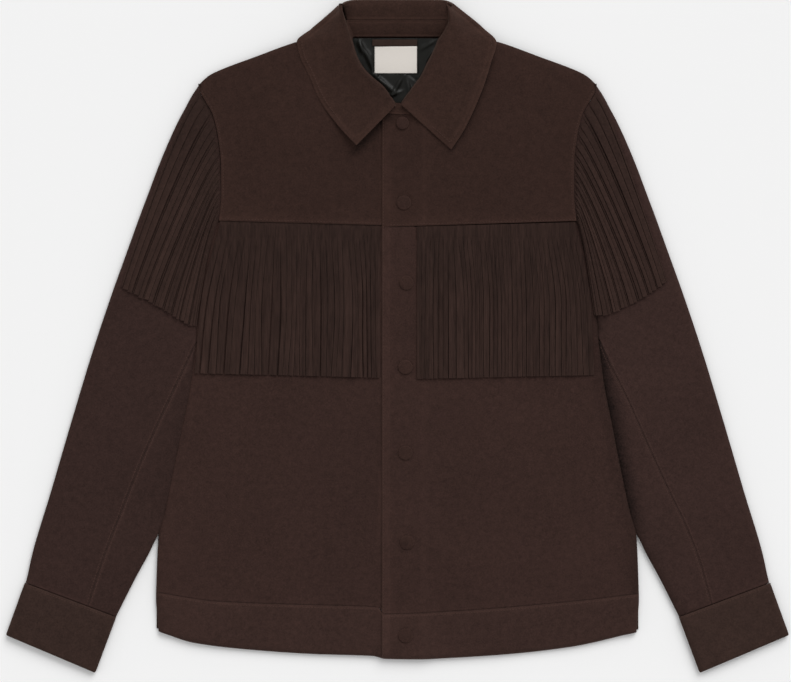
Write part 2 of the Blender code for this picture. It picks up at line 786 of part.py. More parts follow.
def comb(name, strip_edge, roots, strands, low_of, material):
    """A fringe: a strip whose cells grow into strands, as one closed mesh.

    strip_edge holds the sewn edge's points and roots the cut edge's, two for each strand, its left and its
    right side. strands holds each strand's further stations as left and right points with a lift. The
    wall stands on the heights that low_of gives.
    """
    vertices = []
    faces = []

    def post(x, y, rise=0.0):
        low = low_of(x, y) + rise
        vertices.append((x, y, low))
        vertices.append((x, y, low + STRAND_WALL))
        return len(vertices) - 2

    sewn = [post(x, y) for x, y in strip_edge]
    cut = [post(x, y) for x, y in roots]
    cells = len(sewn) - 1
    for cell in range(cells):
        a, b, c, d = sewn[cell], sewn[cell + 1], cut[cell + 1], cut[cell]
        faces.append((a + 1, d + 1, c + 1, b + 1))
        faces.append((a, b, c, d))
        faces.append((a, a + 1, b + 1, b))
        if cell % 2:
            faces.append((d, c, c + 1, d + 1))
    faces.append((sewn[0], cut[0], cut[0] + 1, sewn[0] + 1))
    faces.append((sewn[-1], sewn[-1] + 1, cut[-1] + 1, cut[-1]))
    for number, stations in enumerate(strands):
        left, right = cut[2 * number], cut[2 * number + 1]
        for (left_x, left_y), (right_x, right_y), rise in stations:
            next_left = post(left_x, left_y, rise)
            next_right = post(right_x, right_y, rise)
            faces.append((left + 1, next_left + 1, next_right + 1, right + 1))
            faces.append((left, right, next_right, next_left))
            faces.append((left, next_left, next_left + 1, left + 1))
            faces.append((right, right + 1, next_right + 1, next_right))
            left, right = next_left, next_right
        faces.append((left, right, right + 1, left + 1))
    thing = new_object(name, vertices, faces, material)
    split_faces(thing)
    return thing


def chest_fringes():
    """The fringe under each yoke seam."""
    for side, lapped in (("left", False), ("right", True)):
        sewn_start, sewn_end, low_left_y, low_right_y = CHEST_FRINGE[side]
        table = np.array(STRAND_SIDES[side])
        count = len(table) - 1
        top = np.linspace(sewn_start, sewn_end, count + 1)
        chance = random.Random(7 if lapped else 3)
        seam_y = YOKE_SEAM - 0.7
        strip_y = seam_y - FRINGE_STRIP
        half_gap = 0.5 * STRAND_GAP
        edges = np.stack([top[:-1] + half_gap, top[1:] - half_gap], axis=1).ravel()
        strip_edge = [(x, seam_y) for x in edges]
        roots = [(x, strip_y) for x in edges]
        strands = []
        for number in range(count):
            share = number / (count - 1)
            low_y = low_left_y + share * (low_right_y - low_left_y) + chance.uniform(-2.0, 1.6)
            stations = []
            for step in range(1, STRAND_STEPS + 1):
                down = step / STRAND_STEPS
                y = strip_y + (low_y - strip_y) * down
                left, right = [float(np.interp(down, (0.0, 0.5, 1.0), (top[place], *table[place])))
                               for place in (number, number + 1)]
                stations.append(((left + half_gap, y), (right - half_gap, y), chance.uniform(0.0, STRAND_LIFT)))
            strands.append(stations)

        def low_of(x, y, lapped=lapped):
            return front_height(x, y, lapped) + LAYER_GAP

        comb("chest_fringe_" + side, strip_edge, roots, strands, low_of, suede)


def sleeve_strand_lines(side, shares):
    """The lines between the sleeve strands at the given shares of their way, and the seam above them.

    Each line is a cubic curve. It leaves the armhole seam downwards and outwards, turns down, and ends at
    its place on the fringe's bottom edge.
    """
    lines = SLEEVE_STRANDS + 1
    sewn = np.asarray(even_line([(x + 1.0, y) for y, x in reversed(ARMHOLE[:-1])], lines))
    start = sewn + SLEEVE_FRINGE_STRIP * np.array([0.93, -0.36])
    end = np.asarray(even_line([(abs(x), y) for x, y in SLEEVE_FRINGE_HEM[side]], lines))
    down = np.linspace(0.0, 1.0, lines)[:, None]
    first_reach, last_reach = SLEEVE_STRAND_BEND[side]
    first = start + np.array([0.62, -0.78]) * first_reach * (1.0 - 0.72 * down)
    second = end + np.concatenate([0.3 - 0.16 * down, np.full_like(down, -0.95)], axis=1) * last_reach
    stations = []
    for share in shares:
        rest = 1.0 - share
        stations.append(rest ** 3 * start + 3 * rest ** 2 * share * first
                        + 3 * rest * share ** 2 * second + share ** 3 * end)
    return sewn, stations


def beside_lines(points):
    """Two points for each strand between neighbouring lines: its sides, half a gap in from the lines."""
    across = points[1:] - points[:-1]
    inset = 0.5 * STRAND_GAP * across / np.hypot(across[:, 0], across[:, 1])[:, None]
    return np.stack([points[:-1] + inset, points[1:] - inset], axis=1)


def sleeve_fringes():
    """The fringe in each armhole seam, which hangs over the top of the sleeve."""
    shares = [step / STRAND_STEPS for step in range(STRAND_STEPS + 1)]

    def low_of(x, y):
        return SLEEVE_THICKNESS + LAYER_GAP

    for side, sign in (("left", -1), ("right", 1)):
        chance = random.Random(11 if sign > 0 else 5)
        sewn, stations = sleeve_strand_lines(side, shares)
        mirror = np.array([sign, 1.0])
        edge = (beside_lines(sewn) * mirror).reshape(-1, 2)
        sides = [beside_lines(points) * mirror for points in stations]
        roots = sides[0].reshape(-1, 2)
        hanging = []
        for number in range(SLEEVE_STRANDS):
            uneven = chance.uniform(-2.0, 2.0)
            hanging.append([((left_x, left_y + uneven * share), (right_x, right_y + uneven * share),
                             chance.uniform(0.0, STRAND_LIFT))
                            for share, ((left_x, left_y), (right_x, right_y))
                            in zip(shares[1:], [points[number] for points in sides[1:]])])
        fringe = comb("sleeve_fringe_" + side, edge, roots, hanging, low_of, suede)
        if sign > 0:
            fringe.data.flip_normals()


clear_scene()
jacket = bpy.data.collections.new(COLLECTION_NAME)
bpy.context.scene.collection.children.link(jacket)
placement = bpy.data.objects.new("placement", None)
jacket.objects.link(placement)
placement.location = (0.0, -0.5 * (LOWEST_CUFF + COLLAR_BACK_EDGE) * MM, 0.0)
suede = finish_of("suede", SUEDE)
lining = finish_of("lining", LINING_SATIN)
label_satin = finish_of("label", LABEL_SATIN)
tape = finish_of("tape", TAPE_CLOTH)
back_panel()
front_panels()
front_yokes()
hem_bands()
sleeves()
cuffs()
collar_leaves()
collar_back()
collar_stand()
neck_inside()
snap_buttons()
chest_fringes()
sleeve_fringes()
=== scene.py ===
"""Looks of a suede jacket with fringe that lies flat on its back, over the frame of its solids.

Sizes are in millimetres: x across from the centre line, y up from the hem at the centre front, and z
above the table. Each piece is worked out on a grid of such points and turned into metres at the end.
"""
import math

import bpy
import numpy as np
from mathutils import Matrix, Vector


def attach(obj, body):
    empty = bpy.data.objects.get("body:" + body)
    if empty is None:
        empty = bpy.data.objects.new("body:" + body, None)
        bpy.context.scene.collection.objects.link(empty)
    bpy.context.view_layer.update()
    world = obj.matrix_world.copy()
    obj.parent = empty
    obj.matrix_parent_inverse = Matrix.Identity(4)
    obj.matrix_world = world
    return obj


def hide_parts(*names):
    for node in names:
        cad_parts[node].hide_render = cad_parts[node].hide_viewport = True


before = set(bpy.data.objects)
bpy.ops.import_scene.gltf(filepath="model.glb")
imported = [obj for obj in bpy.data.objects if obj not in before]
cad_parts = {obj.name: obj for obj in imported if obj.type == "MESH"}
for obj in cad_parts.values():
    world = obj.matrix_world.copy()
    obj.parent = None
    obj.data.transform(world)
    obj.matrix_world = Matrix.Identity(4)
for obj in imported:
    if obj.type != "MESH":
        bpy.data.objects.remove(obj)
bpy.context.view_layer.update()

# The setting: the jacket lies on a plain pale table, seen from straight above. A soft light comes from
# beyond the collar and a little from the right, and the room fills in the rest.
HEM_TO_MIDDLE = 349.7
PICTURE_MIDDLE = (-2.16, 344.5)
PICTURE_WIDTH = 854.3
CAMERA_HEIGHT = 5000.0
TOWARDS_LIGHT = (0.34, 0.74, 0.7)
ROOM_LIGHT = 0.68
WINDOW_LIGHT = 1.70
TABLE_HALF_SIDE = 14.0


def metres(points):
    """Millimetres from the hem at the centre front to metres from the middle of the jacket."""
    placed = np.array(points, float) * 0.001
    placed[..., 1] -= HEM_TO_MIDDLE * 0.001
    return placed


def placed(name, data):
    """A new object of the scene, from its data."""
    thing = bpy.data.objects.new(name, data)
    bpy.context.collection.objects.link(thing)
    return thing


def plain_material(name, colour, roughness):
    """A Principled material, its node tree and its shader."""
    made = bpy.data.materials.new(name)
    made.use_nodes = True
    shader = made.node_tree.nodes["Principled BSDF"]
    shader.inputs["Base Color"].default_value = (*colour, 1.0)
    shader.inputs["Roughness"].default_value = roughness
    return made, made.node_tree, shader


bpy.context.scene.view_settings.view_transform = "Standard"
room = bpy.data.worlds.new("room")
room.use_nodes = True
room.node_tree.nodes["Background"].inputs["Color"].default_value = (1.0, 1.0, 1.0, 1.0)
room.node_tree.nodes["Background"].inputs["Strength"].default_value = ROOM_LIGHT
bpy.context.scene.world = room
window = placed("window", bpy.data.lights.new("window", "SUN"))
window.data.energy = WINDOW_LIGHT
window.data.angle = math.radians(40)
window.rotation_euler = Vector(TOWARDS_LIGHT).to_track_quat("Z", "Y").to_euler()
camera = placed("camera", bpy.data.cameras.new("camera"))
camera.data.sensor_width = 36.0
camera.data.lens = 36.0 * CAMERA_HEIGHT / PICTURE_WIDTH
camera.data.clip_end = 100.0
camera.location = metres((*PICTURE_MIDDLE, CAMERA_HEIGHT))
bpy.context.scene.camera = camera
table_mesh = bpy.data.meshes.new("table")
table_mesh.from_pydata([(x * TABLE_HALF_SIDE, y * TABLE_HALF_SIDE, -0.0002)
                        for x, y in ((-1, -1), (1, -1), (1, 1), (-1, 1))], [], [(0, 1, 2, 3)])
table_top = placed("table", table_mesh)
pale, _, _ = plain_material("pale_table", (0.86, 0.86, 0.86), 0.9)
table_mesh.materials.append(pale)


# The back: one panel of dark brown suede from the hem band to the shoulders, face down on the table.
# Suede is leather with its flesh side brushed to a short nap, so it is matt and mottled; its folds and
# ridges are painted lighter, partly as wear and partly as a painted highlight, and its seams are darkened
# with painted shade. The back rises where the fall of the collar lies under it.
WALL = 2.0
SUEDE = (0.0293, 0.0147, 0.0112)
FALL_LIFT = 2.6
BODY_SIDE = [(73.4, 260.0), (105, 259), (139, 257), (162, 250.5), (200, 242.5), (250, 232.5), (302, 222.5),
             (349, 217), (396, 211.5), (437, 203.5), (473, 193.2)]
ARMHOLE = [(474, 192.8), (505, 190.2), (536, 190.5), (564, 193.5), (589, 199.5), (601, 206), (613.5, 213.5)]
SHOULDER = [(213.5, 622), (205, 630), (196, 635), (151, 652), (107.5, 667.5), (60, 679)]
BACK_NECK = [(45, 674.5), (20, 672.5), (0, 672)]
HEM_SEAM = [(-260, 73.4), (-195, 63.7), (-126, 60.7), (-21, 57.5), (-14.6, 50), (75.6, 54), (158, 60.7),
            (213, 66.2), (260, 72)]
HEM_EDGE = [(-260.5, 32), (-219, 18.5), (-154, 10.8), (-89, 6.5), (-24, 4.3), (-15.7, 1.4), (24.3, 0.8),
            (56.7, 2.2), (121.5, 6.5), (186, 14), (259.8, 30.5)]


def through(rows, key, column=1):
    """A column of a table at key, on a smooth curve: a cubic between each two rows, whose slopes are the
    harmonic means of the straight ones, so it never swings past a row."""
    table = np.array(sorted(rows), float)
    x, y = table[:, 0], table[:, column]
    step = np.diff(x)
    slope = np.diff(y) / step
    both = slope[:-1] + slope[1:]
    same = slope[:-1] * slope[1:] > 0
    inner = np.where(same, 2 * slope[:-1] * slope[1:] / np.where(same, both, 1), 0)
    tangent = np.concatenate([slope[:1], inner, slope[-1:]])
    held = np.clip(key, x[0], x[-1])
    at = np.clip(np.searchsorted(x, held) - 1, 0, len(step) - 1)
    t = (held - x[at]) / step[at]
    return (y[at] * (2 * t**3 - 3 * t**2 + 1) + step[at] * tangent[at] * (t**3 - 2 * t**2 + t)
            + y[at + 1] * (3 * t**2 - 2 * t**3) + step[at] * tangent[at + 1] * (t**3 - t**2))


def ease(share):
    """A smooth step from 0 to 1."""
    held = np.clip(share, 0.0, 1.0)
    return held * held * (3.0 - 2.0 * held)


def bell(way, half_width):
    """A bell over the way to its middle: 1 there, and 1/e at its half width."""
    return np.exp(-(way / half_width) ** 2)


def points_at(*parts):
    """Points from their coordinates, of arrays that fit each other."""
    return np.stack(np.broadcast_arrays(*parts), axis=-1)


def lift(x, y):
    """How far the collar's fall raises the layers over it: a smooth step up and one across."""
    return FALL_LIFT * ease((y - 528) / 50) * ease((176 - np.abs(x)) / 45)


def link_material(tree, kind, **values):
    """A new node of a material, by its sockets and settings: a socket gets a value, or a link from the
    output that is given for it."""
    node = tree.nodes.new(kind)
    for name, value in values.items():
        socket = node.inputs.get(name.replace("_", " "))
        if socket is None:
            setattr(node, name, value)
        elif isinstance(value, bpy.types.NodeSocket):
            tree.links.new(value, socket)
        else:
            socket.default_value = value
    return node


def suede_material(name, colour, nap=1.0, streak=(1.0, 1.0, 1.0)):
    """Brushed suede: clouds, mottles and grains of three noises change its colour, and a value that each
    piece gives its points lightens or darkens it further: partly its own wear and tone, partly painted
    highlights on folds, ridges and rims, and painted shade in seams and under other parts. The nap is a bump
    of the two finer noises."""
    made, tree, shader = plain_material(name, colour, 0.92)
    for socket, value in (("Specular IOR Level", 0.1), ("Sheen Weight", 0.12), ("Sheen Roughness", 0.45),
                          ("Sheen Tint", (0.75, 0.5, 0.4, 1.0))):
        shader.inputs[socket].default_value = value

    def plus(first, second):
        """Sum of two values of the material; the second may be a number."""
        node = link_material(tree, "ShaderNodeMath", operation="ADD", Value=first)
        if isinstance(second, float):
            node.inputs[1].default_value = second
        else:
            tree.links.new(second, node.inputs[1])
        return node.outputs["Value"]

    place = tree.nodes.new("ShaderNodeTexCoord").outputs["Object"]
    brushed = link_material(tree, "ShaderNodeMapping", Scale=streak, Vector=place).outputs["Vector"]
    noises, total = [], None
    for scale, detail, rough, half in ((11.0, 3.0, 0.55, 0.08), (150.0, 5.0, 0.62, 0.17),
                                       (620.0, 3.0, 0.7, 0.34)):
        noises.append(link_material(tree, "ShaderNodeTexNoise", Scale=scale, Detail=detail, Roughness=rough,
                                    Vector=brushed).outputs["Fac"])
        spread = link_material(tree, "ShaderNodeMapRange", From_Min=0.25, From_Max=0.75, To_Min=-half * nap,
                               To_Max=half * nap, Value=noises[-1]).outputs["Result"]
        total = plus(total, spread) if total else spread
    tone_and_painted_light = link_material(tree, "ShaderNodeAttribute", attribute_name="tone_and_painted_light").outputs["Fac"]
    tint = link_material(tree, "ShaderNodeVectorMath", operation="SCALE", Vector=colour,
                         Scale=plus(plus(total, tone_and_painted_light), 1.0))
    tree.links.new(tint.outputs["Vector"], shader.inputs["Base Color"])
    bump = link_material(tree, "ShaderNodeBump", Strength=0.45, Distance=0.0012, Height=noises[1])
    bump = link_material(tree, "ShaderNodeBump", Strength=0.5, Distance=0.0005, Height=noises[2],
                         Normal=bump.outputs["Normal"])
    tree.links.new(bump.outputs["Normal"], shader.inputs["Normal"])
    return made


def woven_material(name, colour, roughness, scale, distortion, direction, strength, distance):
    """A material whose weave or ply is a bump of waves, and its shader."""
    made, tree, shader = plain_material(name, colour, roughness)
    weave = link_material(tree, "ShaderNodeTexWave", Scale=scale, Distortion=distortion,
                          bands_direction=direction,
                          Vector=tree.nodes.new("ShaderNodeTexCoord").outputs["Object"])
    bump = link_material(tree, "ShaderNodeBump", Strength=strength, Distance=distance,
                         Height=weave.outputs["Fac"])
    tree.links.new(bump.outputs["Normal"], shader.inputs["Normal"])
    return made, shader


def put_in(name, points, faces, material, node, values=None):
    """A mesh of points in millimetres, which stands for a node of the frame and rides with the jacket."""
    mesh = bpy.data.meshes.new(name)
    mesh.from_pydata(metres(points).reshape(-1, 3).tolist(), [], list(faces))
    mesh.update()
    mesh.materials.append(material)
    mesh.shade_smooth()
    # The value at each point that lightens or darkens the suede: wear and its own tone, and painted
    # highlights and painted shade.
    tone_and_painted_light = mesh.attributes.new("tone_and_painted_light", "FLOAT", "POINT")
    tone_and_painted_light.data.foreach_set("value", np.zeros(len(mesh.vertices)) if values is None else np.ravel(values))
    thing = placed(name, mesh)
    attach(thing, "root")
    if node:
        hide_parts(node)
    return thing


def grid_faces(rows, columns, ring=False):
    """The four-sided faces between the points of a grid, numbered row by row. A ring joins row ends."""
    number = np.arange(rows * columns).reshape(rows, columns)
    if ring:
        number = np.concatenate([number, number[:, :1]], axis=1)
    corners = (number[:-1, :-1], number[:-1, 1:], number[1:, 1:], number[1:, :-1])
    return np.stack(corners, axis=-1).reshape(-1, 4)


def cloth(name, grid, tone_and_painted_light, material, node, wall=1.6, side=1, ring=False):
    """Cloth through a grid of points, rows by columns by three, with its wall behind it. On the left
    side the grid is mirrored across the centre line and its columns are turned round."""
    grid = np.array(grid)
    tone_and_painted_light = np.broadcast_to(tone_and_painted_light, grid.shape[:2])
    if side < 0:
        grid[..., 0] *= -1
        grid, tone_and_painted_light = grid[:, ::-1], tone_and_painted_light[:, ::-1]
    thing = put_in(name, grid, grid_faces(*grid.shape[:2], ring).tolist(), material, node, tone_and_painted_light)
    back = thing.modifiers.new("wall", "SOLIDIFY")
    back.thickness = wall * 0.001
    back.offset = -1.0
    return thing


def along_line(points, shares):
    """Points on the line through given points, at shares of its length or at a count of even ones."""
    line = np.asarray(points, float)
    length = np.concatenate([[0.0], np.cumsum(np.hypot(*np.diff(line, axis=0).T))])
    at = length[-1] * (np.linspace(0.0, 1.0, shares) if np.isscalar(shares) else shares)
    return points_at(np.interp(at, length, line[:, 0]), np.interp(at, length, line[:, 1]))


def patch(low, right, high, left, across, up):
    """A Coons patch in the plane: the two ruled surfaces between facing border lines, added, less the
    surface that their four corners give. Shares across and up are of each border's length."""
    u, v = across[None, :, None], up[:, None, None]
    ruled = (1 - v) * along_line(low, across)[None] + v * along_line(high, across)[None]
    ruled = ruled + (1 - u) * along_line(left, up)[:, None] + u * along_line(right, up)[:, None]
    c = [np.asarray(p, float) for p in (low[0], low[-1], high[0], high[-1])]
    return ruled - ((1 - u) * (1 - v) * c[0] + u * (1 - v) * c[1] + (1 - u) * v * c[2] + u * v * c[3])


def curve(rows, count, flip=True):
    """Points on the smooth curve of a table, at even steps of its first column, as x and y."""
    key = np.linspace(min(r[0] for r in rows), max(r[0] for r in rows), count)
    value = through(rows, key)
    return np.stack([value, key] if flip else [key, value], axis=-1)


SIDE_LINE = curve(BODY_SIDE + ARMHOLE[1:], 60)
SHOULDER_LINE = curve([(-x, y) for x, y in SHOULDER], 40, False) * (-1, 1)
side_border = np.concatenate([SIDE_LINE, [(213.2, 622)]])
neck_border = curve([(-x, y) for x, y in SHOULDER + BACK_NECK], 50, False) * (-1, 1)
high_border = np.concatenate([neck_border * (-1, 1), neck_border[-2::-1]])
low_x = np.linspace(-260, 260, 40)
low_border = points_at(low_x, through(HEM_SEAM, low_x))
across = np.linspace(0, 1, 61)
up = np.linspace(0, 1, 61)
left_border = side_border * (-1, 1)
place = patch(low_border, side_border, high_border, left_border, across, up)
height = WALL + lift(place[..., 0], place[..., 1])
brown = suede_material("suede_back", SUEDE)
cloth("back", np.concatenate([place, height[..., None]], axis=-1), 0.0, brown, "back_panel",
      wall=WALL)


# The hem band of the back: a strip of suede sewn to the back's lower edge, turned under at the hem.
x = np.linspace(-260, 260, 80)[None]
low, high = through(HEM_EDGE, x) + 2.8, through(HEM_SEAM, x) - 0.3
y = low + np.linspace(0, 1, 12)[:, None] * (high - low)
cloth("back_hem_band", points_at(x, y, WALL), 0.0, brown, "hem_band_back",
      wall=WALL)


# The fronts below the yoke: two panels of suede over the back, rounded over the body's sides. The one
# on the right in the picture laps over the other and ends in a folded band along its edge, sewn 1.9 mm
# from the edge. The cloth is smooth, with a few long soft waves.
FRONT_TOP = 7.6
LAP_RISE = 2.3
LAP_EDGE = -17.0
TUCKED_EDGE = -18.0
SIDE_SEAM_HEIGHT = 2.9
FRONT_SUEDE = (0.0330, 0.0167, 0.0136)
WAVES = [(1.1, 0.3, 0.4, 0.30), (-0.5, 1.3, 2.0, 0.26), (2.1, 1.2, 4.4, 0.16), (1.4, -2.4, 1.1, 0.14),
         (3.9, 0.8, 5.2, 0.08), (0.6, 4.3, 3.3, 0.08)]
SNAPS = [(5.4, 579.4, 13.6), (7, 493.6, 15.6), (9.7, 407.2, 15.6), (8.6, 316.4, 15.6), (8.4, 223.8, 15.6),
         (10.3, 127.4, 15.6), (8.7, 27, 15.6)]

# Main creases of the fronts: middle across and up, direction in degrees, half length, half width, rise
FRONT_CREASES = [(-120, 300, 80, 60, 9, 0.5), (-60, 200, 96, 70, 12, -0.5), (-190, 210, 75, 60, 8, 0.6),
                 (-100, 120, 12, 70, 10, 0.5), (70, 330, 84, 50, 10, -0.5), (130, 230, 100, 70, 10, 0.55),
                 (185, 190, 105, 60, 8, -0.6), (166, 268, 93, 60, 5, 0.6), (110, 110, -10, 60, 9, 0.5),
                 (60, 160, 60, 40, 9, 0.35)]


def yoke_seam(x, lapped):
    """Height of the seam between front and yoke above the hem: a straight line, a little lower inside."""
    return (467.7 if lapped else 468.6) + 0.028 * x


def relief(x, y, creases=()):
    """Unevenness of cloth that lies on cloth: long sine waves, and each crease as a soft bell that is
    long one way and narrow the other."""
    rise = sum(h * np.sin(a * x * 0.02 + b * y * 0.02 + c) for a, b, c, h in WAVES)
    for cx, cy, turn, long, narrow, height in creases:
        c, s = math.cos(math.radians(turn)), math.sin(math.radians(turn))
        along = (x - cx) * c + (y - cy) * s
        aside = (y - cy) * c - (x - cx) * s
        rise = rise + height * bell(along, long) * bell(aside, narrow)
    return rise


def front_height(x, y, lapped):
    """Height of the outer face of a front: level, lifted at the collar and over the other front."""
    over = LAP_RISE * (1 - ease((x - 24) / 22)) if lapped else 0.0
    return FRONT_TOP + lift(x, y) + over


def edge_fall(distance, width, depth):
    """How far a rounded edge falls: a quarter of an ellipse, nothing at width and depth at the edge."""
    rest = 1 - np.clip(distance / width, 0, 1)
    return depth * (1 - np.sqrt(np.clip(1 - rest**2, 0, 1)))


def groove(distance, depth=0.15, half_width=0.7):
    """Depth of the trough that a row of stitches pulls in: a bell over the way to the row."""
    return depth * bell(distance, half_width)


def distance_to(line, x, y):
    """Shortest way from each point to the line through given points."""
    line = np.asarray(line, float)
    ahead = np.diff(line, axis=0)
    px, py = x[..., None] - line[:-1, 0], y[..., None] - line[:-1, 1]
    share = np.clip((px * ahead[:, 0] + py * ahead[:, 1]) / (ahead**2).sum(1), 0, 1)
    return np.hypot(px - share * ahead[:, 0], py - share * ahead[:, 1]).min(-1)


def places(start, end, near_start, near_end, count):
    """Places across a panel, row by row: at set distances from both edges and even steps between."""
    first = start[:, None] + np.asarray(near_start)
    last = end[:, None] - np.asarray(near_end)[::-1]
    between = first[:, -1:] + (last[:, :1] - first[:, -1:]) * np.linspace(0, 1, count + 2)[1:-1]
    return np.concatenate([first, between, last], axis=1)


def along_length(length, near_start, near_end, count):
    """Places along one length, as in places."""
    return places(np.zeros(1), np.full(1, length), near_start, near_end, count)[0]


NEAR_EDGE = (0, 0.15, 0.4, 0.8, 1.3, 1.8, 2.3, 3, 4)
NEAR_BAND = NEAR_EDGE[:-1] + (4.2, 5.6, 7, 7.8, 8.6, 9.4, 10.4, 12, 15, 19, 24, 30, 35, 40)
NEAR_ROLL = (0, 0.06, 0.2, 0.5, 0.9, 1.5, 2.2, 3, 4, 5.2, 6.5, 8, 9.5, 11.5, 14)


def across_front(lapped, half_width, count):
    """Places across a front from its own edge to its side seam, for each half width of the body."""
    start = np.full(len(half_width), LAP_EDGE if lapped else TUCKED_EDGE)
    return places(start, half_width, NEAR_BAND if lapped else NEAR_EDGE, NEAR_ROLL, count)


def band_relief(from_edge):
    """The folded band along the lapped edge: rounded at the edge, pulled in by its stitches, and a
    little higher than the front where its turned-in edge ends."""
    return (0.35 * (1 - ease((from_edge - 7.6) / 2)) - edge_fall(from_edge, 2.6, 2.0)
            - groove(from_edge - 2.2, 0.12, 0.6) - groove(from_edge - 9.3, 0.12, 0.8))


def clear_of_band(x, lapped):
    """Share of a seam that crosses the front: none on the folded band, which runs over the seam."""
    return ease((x - LAP_EDGE - 7) / 3) if lapped else 1.0


def snap_dimples(x, y):
    """The shallow dimple round each snap: a bell over the way to its middle."""
    return sum(0.45 * bell(np.hypot(x - sx, y - sy), 15.0) for sx, sy, _ in SNAPS)


def smooth_front(x, y, lapped):
    """Height of a front with its waves and creases; x is less than nothing on the left one."""
    return front_height(np.abs(x), y, lapped) + relief(x, y, FRONT_CREASES)


def front_face(x, y, lapped, side):
    """Height of a front away from its seams, with its band and dimples; x grows outwards on both."""
    z = smooth_front(side * x, y, lapped)
    if lapped:
        z = z + band_relief(x - LAP_EDGE) - snap_dimples(x, y)
    return z


def lap_wear_and_painted_light(x, lapped):
    """Wear and painted light along the lapped edge. On the lapped front the folded band, its fold and a line
    farther out are painted lighter, partly wear and partly a painted highlight, and painted shade darkens
    the band's inner row of stitches. On the front under it, a thin line by the lapped edge is painted
    lighter and a wide band beside it gets painted shade."""
    if lapped:
        edge = 0.19 * (1 - ease((x + 9) / 5)) + 0.3 * bell(x - LAP_EDGE, 1.6)
        return edge - 0.1 * bell(x + 7.6, 0.8) + 0.12 * bell(x - 28.6, 2.4)
    return 0.35 * bell(x - 17.4, 1.6) - 0.06 * bell(x - 16, 8)


def side_wear_and_painted_light(from_side, side):
    """Wear and painted light along the side of the body: on the left its rounded edge is painted lighter,
    partly wear and partly a painted highlight, and on the right painted shade darkens it.
    """
    if side < 0:
        return 0.16 * bell(from_side, 3.0)
    return -0.25 * bell(from_side, 12)


SIDES = ((-1, False, "left"), (1, True, "right"))
front_suede = suede_material("suede_front", FRONT_SUEDE)
for side, lapped, word in SIDES:
    up = along_length(400.0, NEAR_EDGE, NEAR_EDGE, 88) / 400.0
    half = through(BODY_SIDE, 73.0 + up * 400.0) + 0.5
    x = across_front(lapped, half, 46)
    low = through(HEM_SEAM, side * x)
    seam = yoke_seam(x, lapped) - 0.15
    y = low + up[:, None] * (seam - low)
    from_side = half[:, None] - x
    clear = clear_of_band(x, lapped)
    depth = FRONT_TOP - SIDE_SEAM_HEIGHT - (2.6 * ease((y - 145) / 40) if side < 0 else 0.0)
    z = front_face(x, y, lapped, side) - edge_fall(from_side, 6.0, 1.0) * depth
    z -= clear * edge_fall(seam - y, 1.7, 1.3) + edge_fall(y - low, 1.4, 0.8)
    # Painted shade in the seams at the hem band and at the yoke, with a faint lighter line just above the
    # hem seam, partly wear and partly a painted highlight.
    tone_and_painted_light = 0.04 * bell(y - low - 2, 2) - 0.12 * bell(y - low, 0.9) + lap_wear_and_painted_light(x, lapped)
    tone_and_painted_light = tone_and_painted_light - 0.12 * clear * bell(seam - y, 1.2) + side_wear_and_painted_light(from_side, side)
    cloth("front_panel_" + word, points_at(x, y, z), tone_and_painted_light, front_suede, "front_" + word,
          side=side)


# The yokes: suede from the fringe seam up to the shoulder, the armhole and the neck. Their lower edge
# and armhole edge are turned under and sewn 2.4 mm from the fold, and stand a little over the fringe.
YOKE_SUEDE = (0.0293, 0.0145, 0.0112)
YOKE_SEWN = 2.4
FRONT_NECK = [(3, 590), (24, 590.5), (34, 607), (42, 624), (55, 655), (60, 679)]
YOKE_CREASES = [(-120, 560, 70, 45, 10, 0.5), (-60, 530, 20, 50, 10, 0.35), (110, 560, 110, 45, 10, 0.5),
                (60, 520, -30, 40, 9, 0.35), (-160, 610, 30, 30, 8, 0.4), (165, 610, -30, 30, 8, 0.4),
                (48, 535, 68, 26, 6, 0.45), (58, 540, 68, 22, 5, -0.4)]


def shoulder_fall(x, y):
    """How the front rounds down to the shoulder seam."""
    ends = np.concatenate([SHOULDER_LINE, [(213.5, 613.5)]])
    depth = FRONT_TOP - 3.9
    return edge_fall(distance_to(ends[np.argsort(ends[:, 0])], x, y), 9.0, depth)


def over_fringe(x, over, to_arm):
    """Rise of the yoke where its edge lies on the fringe's strip: a bell over the way to the edge."""
    return 1.7 * np.maximum(bell(over, 10) * ease((x - 14) / 8), bell(to_arm, 9))


def under_leaf(x, y):
    """Shade of the collar's leaves on the yokes: wide below the raised front edge of the left one, and
    narrow along the outer edge of the right one."""
    front = distance_to([(-2.0, 598.0), (-44.3, 555.0)], x, y)
    outer = distance_to([(57.8, 550.6), (71.8, 571.9), (85.4, 600.5), (101.2, 645.8)], x, y)
    return 0.55 * bell(front, 8.5) * (y - x < 600) * (x < 0) + 0.35 * bell(outer, 3.2)


yoke_suede = suede_material("suede_yoke", YOKE_SUEDE)
armhole_line = curve(ARMHOLE, 40)
YOKE_SHARES = along_length(190.0, NEAR_EDGE, (0, 0.2, 0.6, 1.2, 1.8, 2.5, 3.4, 5, 7.5, 10), 60) / 190.0


def yoke_face(x, y, lapped, side):
    """Height of a yoke away from its edges."""
    z = front_height(x, y, lapped) + relief(side * x, y, YOKE_CREASES) - shoulder_fall(x, y)
    if lapped:
        z = z + band_relief(x - LAP_EDGE) - snap_dimples(x, y) - groove(x - 36, 0.25, 1.4)
    return z


